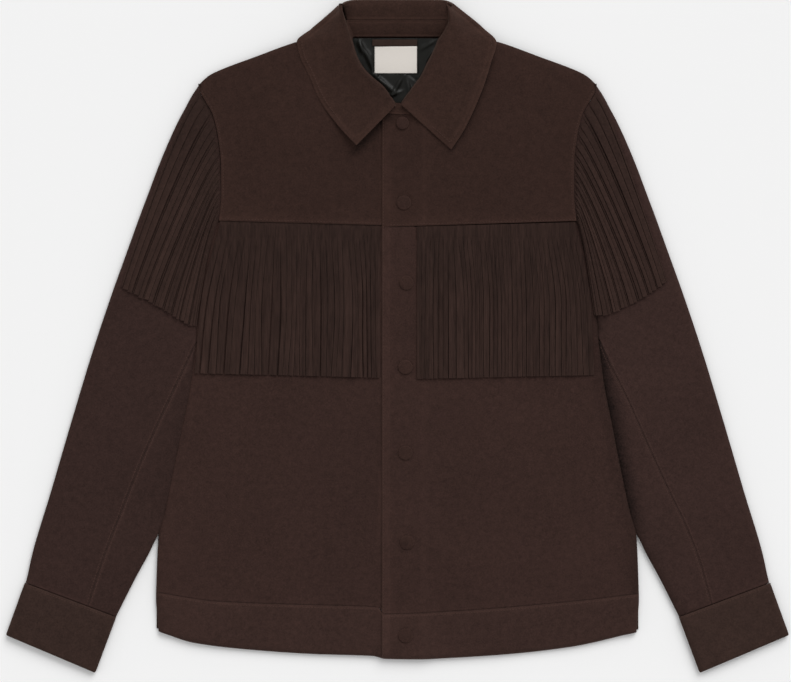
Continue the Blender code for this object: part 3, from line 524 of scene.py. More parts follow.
for side, lapped, word in SIDES:
    inner = LAP_EDGE if lapped else TUCKED_EDGE
    arm = np.concatenate([armhole_line, [(213.4, 622)]])
    neck = np.concatenate([[(inner, 590)], FRONT_NECK[:1], curve(FRONT_NECK[1:], 12, False)])
    high = np.concatenate([neck, SHOULDER_LINE[SHOULDER_LINE[:, 0].argsort()][1:]])
    low = [(x, yoke_seam(x, lapped)) for x in (inner, 193.0)]
    left = [low[0], (inner, 590)]
    up = along_length(150.0, NEAR_EDGE, NEAR_EDGE, 46) / 150.0
    place = patch(low, arm, high, left, YOKE_SHARES, up)
    x, y = place[..., 0], place[..., 1]
    to_arm = distance_to(armhole_line, x, y)
    clear = clear_of_band(x, lapped)
    over = y - yoke_seam(x, lapped)
    z = yoke_face(x, y, lapped, side) + over_fringe(x, over, to_arm)
    z -= clear * (edge_fall(over, 1.2, 1.0) + groove(over - YOKE_SEWN))
    z -= edge_fall(to_arm, 1.4, 0.6) + groove(to_arm - YOKE_SEWN)
    # The folded lower edge and the armhole edge get lighter lines, partly wear and partly a painted
    # highlight, and the collar's leaves lay painted shadow on the yokes.
    tone_and_painted_light = clear * 0.2 * bell(over - 2.6, 2.6)
    tone_and_painted_light = tone_and_painted_light + 0.2 * bell(to_arm - 1.2, 1.8) + lap_wear_and_painted_light(x, lapped)
    tone_and_painted_light = tone_and_painted_light - under_leaf(side * x, y)
    cloth("yoke_panel_" + word, points_at(x, y, z), tone_and_painted_light, yoke_suede, "yoke_" + word,
          side=side)


# The hem bands of the fronts: doubled strips of suede sewn to the fronts with a row of stitches below
# the seam, folded at the hem so that the fold comes down to the band of the back.
HEM_SEWN = 2.8
hem_suede = suede_material("suede_hem", (0.0354, 0.0183, 0.0149))
for side, lapped, word in SIDES:
    up = along_length(50.0, (0, 0.1, 0.3, 0.7, 1.3, 2, 3, 4, 5.5, 7), NEAR_EDGE, 12) / 50
    half = 258.0 + 2.6 * ease(up * 1.2)
    x = across_front(lapped, half, 52)
    low, seam = through(HEM_EDGE, side * x), through(HEM_SEAM, side * x)
    if lapped:
        low = low + edge_fall(x - LAP_EDGE, 4.0, 3.2)
    y = low + up[:, None] * (seam - low)
    below = seam - y
    z = front_face(x, y, lapped, side) - edge_fall(half[:, None] - x, 9.0, FRONT_TOP - SIDE_SEAM_HEIGHT)
    fold = 0.3 + (6.6 if lapped else 4.9) * np.clip((half[:, None] - x) / 16, 0, 1)
    z = z - edge_fall(y - low, 5.5, fold) - edge_fall(below, 1.2, 0.6) - groove(below - HEM_SEWN)
    # A lighter ridge just below the seam and a faint one near the fold, partly wear and partly a painted
    # highlight, and painted shade in the seam.
    tone_and_painted_light = 0.34 * bell(below - 2.0, 1.2) - 0.06 * bell(below, 0.6)
    tone_and_painted_light = tone_and_painted_light + 0.05 * bell(y - low - 3, 2.5) + lap_wear_and_painted_light(x, lapped)
    cloth("hem_band_panel_" + word, points_at(x, y, z), tone_and_painted_light, hem_suede, "hem_band_" + word,
          side=side)


# The sleeves: flattened tubes of suede, each of a top sleeve over the outer fold and an under sleeve
# round the inner one. The seam between them runs down the front with a row of stitches on each side.
SLEEVE_TOP = 7.6
SLEEVE_HEAD = 621.6
SLEEVE_RUN = 574.3
ARMPIT = 345.0
SLOPE = 0.375
FINER = 1.3
SLEEVE_SEWN = 2.2
SLEEVE_SUEDE = (0.0323, 0.0168, 0.0141)
SLEEVE_FOLD = [(40, 417.5), (84, 401.2), (116.6, 393.7), (181.4, 374.2), (259, 351.5), (337, 327.8),
               (401.8, 306), (440.6, 292), (479.5, 278), (505, 268.4), (531, 258.7), (557, 248), (583, 236),
               (595, 229.5), (609, 222), (622, 213.3)]
SLEEVE_INNER = [(129.6, 261.4), (116.6, 267.5), (91, 281.5), (47.5, 303.5)]

# Front seam of the sleeve from the armpit to the cuff: height, and how far out it lies
SLEEVE_SEAM = {"left": [(345, 216.6), (305.6, 234.9), (287.3, 243.5), (243, 264.1), (197.6, 283.5),
                        (158.8, 298.6), (111.2, 317), (64.8, 332.1), (58.5, 334.2)],
               "right": [(349, 216.6), (319.7, 229.5), (285.1, 246.8), (236.5, 268.4), (186.8, 291.1),
                         (141.5, 312.7), (104.8, 326.7), (65.9, 337.5), (60, 339.2)]}
SLEEVE_CREASES = [(330, 270, 62, 40, 7, 0.8), (345, 230, 50, 34, 6, -0.6), (300, 330, -30, 34, 6, 0.6),
                  (360, 160, -40, 36, 7, 0.7), (350, 120, -55, 30, 6, -0.6), (310, 200, 70, 36, 7, 0.6),
                  (375, 95, 20, 30, 6, 0.6), (300, 390, -35, 32, 7, 0.5), (290, 300, -45, 24, 6, -0.5)]


def sleeve_frame(inner_y):
    """For heights of the sleeve's inner edge: that edge's point, the way across and the width. The outer
    fold's point lies straight across, and is found by going back and forth between line and fold."""
    beside_body = [(y, x - 0.5) for y, x in BODY_SIDE[2:-1]]
    rows = ARMHOLE + [(622.0, 213.2)] + beside_body + SLEEVE_INNER
    inner_x = through(rows, inner_y)
    x = inner_x + 50.0
    for _ in range(60):
        x = through(SLEEVE_FOLD, inner_y + SLOPE * (x - inner_x))
    way = points_at(x - inner_x, SLOPE * (x - inner_x))
    width = np.hypot(way[:, 0], way[:, 1])
    return inner_x, way / np.maximum(width, 1e-6)[:, None], width


def seam_from_inner(inner_y, inner_x, way, word):
    """How far the front seam lies from the inner edge, straight across, found by going back and forth
    between line and seam, or nothing above the point where seam and edge meet."""
    out = 0 * inner_y
    for _ in range(20):
        out = (through(SLEEVE_SEAM[word], inner_y + out * way[:, 1]) - inner_x) / way[:, 0]
    return np.where(inner_y < ARMPIT + 4, np.maximum(out, 0.0), 0.0)


def fold_round(middle, reach, thick, outward):
    """Distances and heights round a folded edge from the top to the underside: half an ellipse."""
    turn = np.radians(np.array([90, 78, 66, 54, 42, 30, 18, 6, -8, -22, -38, -54, -72, -90]))
    return (middle[:, None] + outward * reach[:, None] * np.cos(turn),
            0.5 * thick * (1 + np.sin(turn)) + 0 * middle[:, None])


NEAR_SEAM = (0, 0.2, 0.5, 0.9, 1.4, 1.9, 2.5, 3.3, 4.5, 6)


def half_tube(seam, bend, reach, outward, full, steps, below):
    """Places across and heights of a flat tube's one side: from the seam over the top to the bend, round
    the fold and back below. Near the seam they are close, where the way is full."""
    near = np.array(NEAR_SEAM) * np.clip(outward * (bend - seam) / full, 0, 1)[:, None]
    top = seam[:, None] + outward * near
    rest = top[:, -1:] + np.linspace(0, 1, steps)[1:] * (bend[:, None] - top[:, -1:])
    fold, fold_z = fold_round(bend, reach, SLEEVE_TOP, outward)
    under = bend[:, None] + np.linspace(0, 1, below)[1:] * (seam - bend)[:, None]
    along = np.concatenate([top, rest, fold[:, 1:], under], axis=1)
    level = np.concatenate([SLEEVE_TOP + 0 * top, SLEEVE_TOP + 0 * rest, fold_z[:, 1:], 0 * under], axis=1)
    return along[:, ::outward], level[:, ::outward]


def sleeve_relief(x, y, side):
    """Relief of a sleeve: the body's made finer, and the sleeve's own creases, mirrored with it."""
    creases = [(side * FINER * cx, FINER * cy, side * turn, *rest) for cx, cy, turn, *rest in SLEEVE_CREASES]
    return relief(FINER * x, FINER * y, creases)


sleeve_suede = suede_material("suede_sleeve", SLEEVE_SUEDE)
inner_y = SLEEVE_HEAD - along_length(SLEEVE_RUN, NEAR_EDGE, NEAR_EDGE, 150)
inner_x, way, width = sleeve_frame(inner_y)
from_cuff = inner_y - inner_y[-1]
for side, _, word in SIDES:
    seam_way = seam_from_inner(inner_y, inner_x, way, word)
    # The left sleeve is a little darker all over and the right one a little lighter.
    shade = 0.05 * side
    for part, outward in (("top", 1), ("under", -1)):
        keep = inner_y < (ARMPIT + 2 if part == "under" else SLEEVE_HEAD + 1)
        seam, iy, ix, w, far = [rows[keep] for rows in (seam_way, inner_y, inner_x, way, from_cuff)]
        if part == "top":
            reach = np.minimum(8.0, np.maximum(0.5 * (width - seam) - 0.2, 0.05))
            along, level = half_tube(seam, width - reach, reach, 1, 16, 34, 8)
            beside = (ease((iy - ARMPIT) / 12) * ease((478 - iy) / 8))[:, None]
            sewn = (iy < ARMPIT)[:, None]
            ridge, ridge_width, flat, area = 0.14, 1.3, (0.21, 0.6), 0.091
        else:
            reach = np.minimum(3.5 if side < 0 else 9.0, 0.5 * seam)
            along, level = half_tube(seam, reach, reach, -1, 12, 20, 7)
            beside, sewn = 0.0, 1.0
            ridge, ridge_width, flat, area = 0.34 if side < 0 else 0.2, 1.5, (0.12, 0.32), 0.022
        x, y = ix[:, None] + along * w[:, None, 0], iy[:, None] + along * w[:, None, 1]
        upper, open_top = (level / SLEEVE_TOP) ** 2, level >= SLEEVE_TOP - 0.001
        from_seam = outward * (along - seam[:, None])
        fall = edge_fall(from_seam, 1.2, 0.8) * (1 - beside) + edge_fall(from_seam, 5.0, 4.9) * beside
        z = level + upper * sleeve_relief(side * x, y, side)
        z = z - open_top * (fall + sewn * groove(from_seam - SLEEVE_SEWN))
        z = np.maximum(z - upper * edge_fall(far, 1.2, 0.2)[:, None], 0.0)
        # A lighter ridge beside the seam, partly wear and partly a painted highlight, and painted shade in
        # the seam itself.
        tone_and_painted_light = ridge * bell(from_seam - SLEEVE_SEWN, ridge_width) - 0.12 * bell(from_seam, 0.9)
        tone_and_painted_light = open_top * sewn * tone_and_painted_light + shade
        if part == "top":
            # Painted shade on the right top sleeve where it drops beside the body, and a lighter line at its
            # cuff end, partly wear and partly a painted highlight.
            tone_and_painted_light = tone_and_painted_light - (side > 0) * open_top * beside * 0.3 * bell(from_seam, 9)
            tone_and_painted_light = tone_and_painted_light + 0.2 * bell(far - 1.0, 1.8)[:, None] * upper
        else:
            # Painted shade along the under sleeve's inner edge beside the body, strong on the right and
            # faint on the left, and weaker towards the cuff.
            shaded = (0.72 if side > 0 else 0.12) * (0.25 + 0.75 * ease((iy[:, None] - 125) / 40))
            tone_and_painted_light = tone_and_painted_light - shaded * bell(along, 12)
        cloth("sleeve_%s_%s" % (part, word), points_at(x, y, z)[::-1], tone_and_painted_light[::-1], sleeve_suede,
              "%s_sleeve_%s" % (part, word), side=side)


# The cuffs: doubled bands of suede round the sleeve ends, sewn on with a row of stitches by the seam.
CUFF_SUEDE = (0.0324, 0.0179, 0.0142)
CUFF_TOP = 9.0
CUFF_EDGE = np.array([(326.0, -13.6), (422.6, 27.3)])
CUFF_SEAM = np.array([(303.4, 46.8), (402.2, 83.8)])
CUFF_HEIGHT = 64.0
cuff_suede = suede_material("suede_cuff", CUFF_SUEDE)
from_edge = along_length(CUFF_HEIGHT, NEAR_EDGE, NEAR_EDGE, 14)
up = from_edge / CUFF_HEIGHT
inner, outer = [low + up[:, None] * (high - low) for low, high in zip(CUFF_EDGE, CUFF_SEAM)]
width = np.hypot(*(outer - inner).T)
way = (outer - inner) / width[:, None]
from_seam = CUFF_HEIGHT - from_edge
for side, _, word in SIDES:
    corner = edge_fall(from_edge, 3.0, 1.0) + edge_fall(from_seam, 1.5, 0.5)
    reach = np.full(len(up), 6.0)
    top = (corner + reach)[:, None] + np.linspace(0, 1, 40) * (width - 2 * reach - 2 * corner)[:, None]
    far, far_z = fold_round(width - reach - corner, reach, CUFF_TOP, 1.0)
    near, near_z = fold_round(reach + corner, reach, CUFF_TOP, -1.0)
    under = top[:, ::-5]
    along = np.concatenate([top, far[:, 1:], under[:, 1:-1], near[:, :0:-1]], axis=1)
    level = np.concatenate([CUFF_TOP + 0 * top, far_z[:, 1:], 0 * under[:, 1:-1], near_z[:, :0:-1]], axis=1)
    x = inner[:, None, 0] + along * way[:, None, 0]
    y = inner[:, None, 1] + along * way[:, None, 1]
    upper = (level / CUFF_TOP) ** 2
    drop = edge_fall(from_edge, 3.5, 2.6) + edge_fall(from_seam, 1.0, 0.4)
    drop += groove(from_seam - 3.0)
    z = np.maximum(level + upper * (0.8 * relief(side * x, y) - drop[:, None]), 0.0)
    # Lighter lines by the seam and near the edge, partly wear and partly a painted highlight.
    tone_and_painted_light = 0.28 * bell(from_seam - 1.5, 1.9) + 0.06 * bell(from_edge - 2, 2)
    cloth("cuff_band_" + word, points_at(x, y, z), upper * tone_and_painted_light[:, None], cuff_suede,
          "cuff_" + word, wall=2.0, side=side, ring=True)


# The collar: two layers of suede. Its leaves roll over at the neck and lie on the yokes, sewn 5 mm from
# their edges. Behind the neck its fall lies under the back, and its inside and stand show in front.
COLLAR_SUEDE = (0.0325, 0.0163, 0.0123)
COLLAR_INSET = 5.2
STAND_END = 588.5

# Roll line's x, y and height, and outer edge's x, y and height, from the front edge round to the back
LEFT_LEAF = [(-1.6, 598.3, 20.0, -44.3, 555.0, 18.5), (-16.6, 617.5, 20.0, -65.8, 578.5, 13.8),
             (-28.2, 627.4, 20.0, -84.6, 605.4, 11.6), (-38.2, 638.1, 21.0, -96.8, 633.4, 11.6),
             (-45.8, 652.1, 22.0, -105.2, 650.5, 11.8), (-50.8, 670.7, 22.5, -108.6, 667.0, 11.8),
             (-55.5, 689.0, 22.5, -91.5, 682.6, 5.2), (-59.6, 702.0, 21.5, -71.0, 700.5, 5.2),
             (-61.0, 708.0, 18.0, -64.5, 706.5, 6.0)]
RIGHT_LEAF = [(4.0, 598.6, 18.0, 57.8, 550.6, 11.4), (20.0, 618.8, 19.5, 71.8, 571.9, 14.4),
              (26.5, 627.5, 20.5, 85.4, 600.5, 15.8), (33.0, 640.4, 21.5, 93.8, 622.0, 15.8),
              (42.7, 661.0, 22.0, 101.2, 645.8, 15.0), (47.5, 672.7, 22.5, 106.8, 665.8, 12.8),
              (54.5, 689.0, 22.5, 92.3, 682.6, 5.2), (53.5, 702.0, 22.0, 70.0, 701.0, 5.2),
              (51.5, 708.0, 20.0, 60.5, 708.5, 6.0)]
LEAF_PROFILE = [(0, 0.72), (0.06, 1), (0.2, 0.84), (0.45, 0.42), (0.75, 0.1), (1, 0)]
LEAF_CREASES = [(-30, 592, 48, 12, 2.2, 0.9), (-36, 584, 60, 12, 2.2, -0.9), (-34, 602, 18, 14, 2.4, 0.9),
                (-48, 590, 25, 14, 2.6, 0.7), (-24, 608, 40, 9, 1.8, -0.8), (-70, 620, 60, 20, 4, 0.7),
                (-80, 650, 90, 18, 4, -0.7), (60, 590, 120, 16, 3.5, 0.7), (78, 630, 100, 22, 4, 0.8),
                (60, 655, 80, 20, 4, -0.7)]
collar_suede = suede_material("suede_collar", COLLAR_SUEDE)


def columns_of(table, step):
    """Each column of a table on smooth curves, at given places along its rows."""
    numbered = [(k, *row) for k, row in enumerate(table)]
    return [through(numbered, step, column)[:, None] for column in range(1, len(numbered[0]))]


step = along_length(8.0, np.array(NEAR_EDGE) / 24, (0, 0.02, 0.06, 0.12), 64)
share = along_length(60.0, (0, 0.4, 1, 2, 3.2, 4.6), NEAR_EDGE + (5, 6, 7.5), 34) / 60
leaf_edges = {}
for side, table, word in ((-1, LEFT_LEAF, "left"), (1, RIGHT_LEAF, "right")):
    roll_x, roll_y, roll_z, edge_x, edge_y, edge_z = columns_of(table, step)
    x = roll_x + share * (edge_x - roll_x)
    y = roll_y + share * (edge_y - roll_y)
    z = edge_z + through(LEAF_PROFILE, share) * (roll_z - edge_z)
    leaf_edges[word] = np.concatenate([[(roll_x[0, 0], roll_y[0, 0])], points_at(edge_x, edge_y)[:, 0]])
    inside = distance_to(leaf_edges[word], x, y)
    z = z + relief(x, y, LEAF_CREASES) * np.clip(inside / 6, 0.2, 1)
    z = z - edge_fall(inside, 1.3, 0.9) - groove(inside - COLLAR_INSET, 0.25, 0.8)
    z = z + 0.3 * bell(inside - 3, 1.6)
    # A painted highlight along the rim and along the row of stitches, partly wear, and on the left leaf
    # painted shade near the roll.
    tone_and_painted_light = 0.32 * bell(inside - 0.9, 1.5) + 0.24 * bell(inside - 5.6, 1.8)
    if side < 0:
        tone_and_painted_light = tone_and_painted_light - 0.2 * bell(share * 60, 8)
    grid = points_at(x * side, y, z)
    cloth("collar_leaf_panel_" + word, grid, tone_and_painted_light, collar_suede, "collar_leaf_" + word,
          wall=2.2, side=side)

COLLAR_INSIDE = [(690.2, 51.2, 15.9), (699, 50.8, 18.4), (706, 49.8, 19.8), (710.6, 47.5, 19)]
COLLAR_FALL = [(710.9, 59, 17.8), (712.9, 60, 11), (712.2, 60.5, 4.5), (709.5, 62, 0.9), (704, 66, 0),
               (682.6, 92, 0), (667, 107, 0), (640, 113, 0)]
across = np.linspace(-1, 1, 61)[None]
up = along_length(3.0, (0, 0.05, 0.12, 0.2, 0.3), (0, 0.05, 0.12, 0.2), 16)
y, half, z = columns_of(COLLAR_INSIDE, up)
up = up[:, None]
wave = 0.35 * np.sin(across * 9 + 1) * np.sin(up * 1.5)
z = z + wave - edge_fall(up, 0.15, 0.8) - groove((up - 0.32) * 8, 0.3, 0.8)
x = (half + np.where(across > 0, 4.5, 4.2 + 2.2 * up)) * across
corner = np.maximum(-across, 0) ** 9
# A lighter line near the lower edge, partly wear and partly a painted highlight, and painted shade at the
# left end, under the leaf.
tone_and_painted_light = 0.2 * bell((up - 0.2) * 8, 1.5) - 0.45 * bell(x + 60, 6)
cloth("collar_inner", points_at(x, y - corner * 4.4 * ease(up - 1.5), z - 2.5 * corner), tone_and_painted_light, collar_suede,
      "collar_inside", wall=2.2)
up = np.linspace(0, 7, 50)
y, half, z = columns_of(COLLAR_FALL, up)
back_y = y - 4.6 * np.abs(across) ** 9 * (1 - ease((up[:, None] - 2.5) / 1.5))
cloth("collar_outer", points_at(half * across, back_y, z), 0.0, collar_suede,
      "collar_fall", wall=2.2)


# The collar stand: a band of suede that stands round the neck and joins the collar to the body, sewn
# along both edges. Its end laps over at the top of the front and is cut round.
def stand_lines():
    """Top and bottom lines of the stand, from the left front round the back to the right front."""
    tops, lows = [], []
    for table, top_in, low_in in ((LEFT_LEAF[:6], -1.3, 2.4), (RIGHT_LEAF[:6], 0.3, 3.2)):
        rows = np.array(table, float)[:, :3]
        reach = np.hypot(rows[:, 0], rows[:, 1] - 648)
        towards = points_at(-rows[:, 0] / reach, (648 - rows[:, 1]) / reach)
        tops.append(np.c_[rows[:, :2] + top_in * towards, rows[:, 2] - 5.0])
        lows.append(np.c_[rows[:, :2] + low_in * towards, np.full(6, 8.2)])
    share = np.linspace(-1, 1, 7)
    back_top = np.c_[np.where(share > 0, 55, 54.8) * share, np.full(7, 690.0), np.full(7, 15.5)]
    back_low = np.c_[np.where(share > 0, 49, 45.5) * share, np.full(7, 672.6), np.full(7, 8.4)]
    return (np.concatenate([tops[0], back_top, tops[1][::-1]]),
            np.concatenate([lows[0], back_low, lows[1][::-1]]))


top_line, low_line = stand_lines()
step = np.linspace(0, len(top_line) - 1, 120)
top_line, low_line = [np.concatenate(columns_of(line, step), axis=1)[None]
                      for line in (top_line, low_line)]
up = along_length(18.0, (0, 0.5, 1.2, 2, 2.8, 3.6), (0, 0.5, 1.2, 2, 2.8, 3.6), 8)
grid = low_line + (up / 18)[:, None, None] * (top_line - low_line)
puff = 0.7 * np.sin(np.pi * up / 18) - groove(up - 2.2, 0.35, 0.7) - groove(up - 15.8, 0.35, 0.7)
grid[..., 2] += puff[:, None]
# Lighter lines along both stitched edges, partly wear and partly a painted highlight.
tone_and_painted_light = 0.22 * (bell(up - 1.8, 1.2) + bell(up - 16.2, 1.2))[:, None]
cloth("collar_stand_band", grid, tone_and_painted_light, collar_suede, "collar_stand", wall=1.8)
y = np.linspace(STAND_END, STAND_END + 12, 22)[:, None]
half = 14.5 - 0.9 * np.clip(y - 592, 0, 20) + 0.4
x = 3.0 + half * np.linspace(-1, 1, 50)[None]
low_edge = STAND_END + 1.6 * ((x - 3) / 14) ** 2
y = low_edge + (y - STAND_END) / 12 * (601 - low_edge)
z = 12.9 + 0.2 * relief(x, y) - edge_fall(y - low_edge, 1.2, 0.7) - groove(y - low_edge - 1.8, 0.25, 0.6)
# A lighter line along its cut edge, partly wear and partly a painted highlight.
tone_and_painted_light = 0.3 * bell(y - low_edge - 1.2, 1.0)
cloth("stand_end_panel", points_at(x, y, z), tone_and_painted_light, collar_suede, "stand_front_end",
      wall=1.8)


# Inside of the neck: the back's lining, a thin dark satin that puckers between its seams, and on it a
# bare label of pale satin and a short tape of the lining's edge.
LINING = (0.0075, 0.0072, 0.0060)
LABEL_X, LABEL_Y = (-24.85, 21.05), (633.2, 662.4)
TAPE_X, TAPE_Y = (-27.3, 21.3), (662.6, 669.6)
lining, shader = woven_material("satin_lining", LINING, 0.32, 900.0, 2.0, "X", 0.12, 0.0002)
shader.inputs["Specular IOR Level"].default_value = 0.16
shader.inputs["Anisotropic"].default_value = 0.4

# Puckers of the lining: middle across and up, direction in degrees, half length, half width, rise
PUCKERS = [(-34, 655, 128, 16, 3.0, 2.2), (-27, 640, 118, 15, 2.6, 2.4), (-14, 622, 140, 16, 2.8, 2.2),
           (0, 620, 60, 14, 2.4, 2.4), (12, 618, 105, 13, 2.6, 2.0), (26, 634, 62, 14, 2.6, 2.4),
           (34, 652, 50, 14, 2.8, 2.2), (30, 662, 30, 12, 2.2, 1.6), (-6, 610, 20, 12, 2.2, 2.0),
           (-40, 664, 100, 10, 2.4, 1.6), (18, 628, 140, 12, 2.0, -1.2), (-20, 630, 60, 12, 2.0, -1.2)]
x, y = np.meshgrid(np.linspace(-57, 57, 150), np.linspace(588, 671, 120))
z = 4.4 + lift(x, y) + 0.5 * (relief(5 * x, 5 * y) + relief(9 * y, 9 * x))
for crease in PUCKERS:
    z = z + relief(x, y, [crease]) - relief(x, y)
under_label = ease((26 - np.abs(x + 1.9)) / 4) * ease((19 - np.abs(y - 650)) / 4)
z = np.clip(z - under_label * np.clip(z - 6.2, 0, 9), 3.6, 10.4)
cloth("neck_lining_satin", points_at(x, y, z), 0.0, lining, "neck_lining",
      wall=0.6)
label_satin, shader = woven_material("satin_label", (0.655, 0.61, 0.56), 0.42, 1400.0, 0.6, "Y", 0.2, 0.0002)
shader.inputs["Sheen Weight"].default_value = 0.2
x, y = np.meshgrid(np.linspace(*LABEL_X, 60), np.linspace(*LABEL_Y, 40))
z = 7.9 + 0.5 * np.sin((x + 3) * 0.09) + 0.3 * np.sin(y * 0.16)
z = z - edge_fall(np.minimum(x - LABEL_X[0], LABEL_X[1] - x), 1.0, 0.35)
z = z - edge_fall(LABEL_Y[1] - y, 1.2, 0.5)
cloth("neck_label_satin", points_at(x, y, z), 0.0, label_satin, "neck_label",
      wall=0.6)
tape = suede_material("neck_tape_cloth", (0.030, 0.0175, 0.0135), 0.7)
x, y = np.meshgrid(np.linspace(*TAPE_X, 60), np.linspace(*TAPE_Y, 14))
z = 8.3 + 0.2 * np.sin(x * 0.2) - edge_fall(np.minimum(y - TAPE_Y[0], TAPE_Y[1] - y), 1.0, 0.5)
cloth("neck_tape_strip", points_at(x, y, z), 0.0, tape, "neck_tape",
      wall=0.8)


# The snaps: domed caps covered in the same suede, pressed through the lapped front, a little farther
# apart towards the hem.
SNAP_PROFILE = [(0.0, 2.5), (0.3, 2.45), (0.55, 2.2), (0.74, 1.95), (0.86, 1.75), (0.94, 1.45), (0.99, 1.0),
                (1.0, 0.5), (0.97, 0.0), (0.93, -0.6)]
snap_suede = suede_material("suede_snap", (0.0305, 0.0154, 0.0122))
turn = np.linspace(0, 2 * np.pi, 40, endpoint=False)[None]
for number, (sx, sy, wide) in enumerate(SNAPS, start=1):
    ring = np.array(SNAP_PROFILE)[1:, :, None]
    x, y = sx + 0.5 * wide * ring[:, 0] * np.cos(turn), sy + 0.5 * wide * ring[:, 0] * np.sin(turn)
    base = float(front_height(sx, sy, True)) + 0.1
    points = points_at(x, y, base + 0.8 * ring[:, 1]).reshape(-1, 3)
    points = np.concatenate([points, [(sx, sy, base + 2.0)]])
    faces = grid_faces(len(SNAP_PROFILE) - 1, 40, ring=True)[:, ::-1].tolist()
    faces += [(len(points) - 1, k, (k + 1) % 40) for k in range(40)]
    # A painted highlight round the rim of each cap.
    tone_and_painted_light = np.concatenate([np.repeat(0.12 * bell(ring[:, 0, 0] - 0.9, 0.1), 40), [0.0]])
    put_in("snap_cap_%d" % number, points, faces, snap_suede, "snap_%d" % number, tone_and_painted_light)


# The fringe: strips of suede cut into strands below an uncut edge, which is sewn into the yoke seam or the
# armhole seam. The strands hang close together. Some lie a little higher than the next and some part, so
# dark lines of unlike strength run down between them, deepened by painted shade on the strands' sides.
FRINGE_SUEDE = (0.0288, 0.0155, 0.0124)
ROOTS = 457.0
STRIP_EDGE = 452.0

# Lines between the chest strands: millimetres across half way down and at the ends, or once if the same
LEFT_LINES = [(-212.4, -218.4), (-205.7, -213.4), (-197.1, -204.7), (-191.7, -196), (-182, -187.4),
              (-175.5, -182), (-164.7, -170.1), (-158.2, -161.5), (-152.8, -155), (-146.3, -147.4),
              (-135.5, -139.9), (-125.8, -129.1), (-119.3, -123.7), (-113.9, -118.3), (-109.6, -111.8),
              -105.3, -98.8, (-92.3, -91.3), (-82.6, -83.7), (-75.1, -77.2), (-67.5, -71.8),
              (-62.1, -66.4), (-57.8, -60.6), (-48.1, -50.2), (-42.7, -43.7), -37.3, (-33, -32.6),
              (-28.4, -27.9), (-24, -23.2), -18.8]
RIGHT_LINES = [21, 25.4, 29.7, 34, 38.3, 43.7, 49.1, 54.5, 63.2, 71.8, 76.1, 80.5, 84.4, 88.4, 92.6, 99.4,
               103.7, 107.7, 111.8, 115.6, 119.5, 123.9, 129.1, 134.3, 138.8, 146.3, 152.8, 158.2, 163.6,
               170.1, 176.6, 182, (186.4, 187.4), (191.8, 193.9), (197.4, 200.3), (203.2, 206.6),
               (208.8, 212.2)]
chest_suede = suede_material("suede_chest_fringe", FRINGE_SUEDE, 1.1, (1.0, 0.07, 1.0))


def directions(steps):
    """Directions of steps in the plane, and those to their left."""
    way = steps / np.linalg.norm(steps, axis=-1, keepdims=True)
    return way, points_at(-way[..., 1], way[..., 0])


def strands(name, lines, gaps, low, tilt, shade, root_shade, end_shade, strip, strip_low, node, material):
    """Ribbons of suede between lines, and the uncut strip over their roots. Lines are lines by stations by
    two, and gaps say how far the ribbons stay off each. At each station a ribbon is a flat ring of seven
    points, crowned on top and turned a little about its own way. Its own tone, the painted shade on its
    sides and underside, and the painted light of unlike strength on its two top edges set in below the
    roots, and the whole changes from the root's tone to the end's."""
    thick = 1.2
    middle = 0.5 * (lines[1:] + lines[:-1])
    _, aside = directions(np.gradient(middle, axis=1))
    wide = ((lines[1:] - lines[:-1]) * aside).sum(-1)
    turned = np.where(wide.mean() < 0, -1.0, 1.0)
    wide = turned * wide
    middle = middle + (0.5 * turned * (gaps[:-1] - gaps[1:]))[..., None] * aside
    half = np.clip(0.5 * (wide - gaps[:-1] - gaps[1:]), 0.7, 6.5)
    ring_u = np.array([-1.0, -0.9, -0.45, 0.45, 0.9, 1.0, 0.0])
    ring_v = np.array([0.35, 0.86, 1.0, 1.0, 0.86, 0.35, 0.0])
    reach = half[..., None] * ring_u
    c, s = np.cos(tilt)[..., None], np.sin(tilt)[..., None]
    u = reach * c - thick * ring_v * s
    v = reach * s + thick * ring_v * c
    xy = middle[..., None, :] + u[..., None] * aside[..., None, :]
    z = low[..., None] + v - np.minimum(reach * s, 0).min(-1, keepdims=True) * 0.6
    points = np.concatenate([xy, z[..., None]], axis=-1)
    count, stations, corners = z.shape
    first = np.arange(count) * stations * corners
    faces = grid_faces(stations, corners, ring=True)[None] + first[:, None, None]
    faces = faces.reshape(-1, 4).tolist()
    faces += [[f + k for k in reversed(range(corners))] for f in first]
    faces += [[f + (stations - 1) * corners + k for k in range(corners)] for f in first]
    # Painted light on each ribbon's two top edges, of unlike strength by chance and now and then a little
    # painted shade, standing for the light on tilted ribbons.
    lit = chance.uniform(-0.1, 0.22, (count, 2))
    cut = ease(np.linspace(0, 3, stations))[None, :, None]
    # Painted shade on the sides and underside of each ribbon stands for the shade in the gaps between them.
    tone_and_painted_light = cut * (shade[:, None, None] + np.array([-0.5, 0.0, 0.0, 0.0, 0.0, -0.5, -0.5])) + 0 * z
    tone_and_painted_light[:, :, [1, 4]] += cut * lit[:, None]
    tone_and_painted_light[:, :, [2, 3]] += cut * chance.uniform(-0.08, 0.08, (count, 1, 2))
    # The whole is darker at the roots and grows lighter towards the ends.
    tone_and_painted_light += root_shade + (end_shade - root_shade) * ease(np.linspace(0, 1.6, stations))[None, :, None]
    points, tone_and_painted_light = points.reshape(-1, 3), tone_and_painted_light.reshape(-1)
    flat = points_at(strip[..., 0], strip[..., 1], strip_low + thick)
    shell = np.concatenate([flat[:1], flat, flat[-1:]], axis=0)
    shell[[0, -1], :, 2] -= thick
    faces += (grid_faces(*shell.shape[:2]) + len(points)).tolist()
    points = np.concatenate([points, shell.reshape(-1, 3)])
    tone_and_painted_light = np.concatenate([tone_and_painted_light, np.full(shell.size // 3, root_shade)])
    thing = put_in(name, points, faces, material, node, tone_and_painted_light)
    thing.data.set_sharp_from_angle(angle=math.radians(50))
    return thing


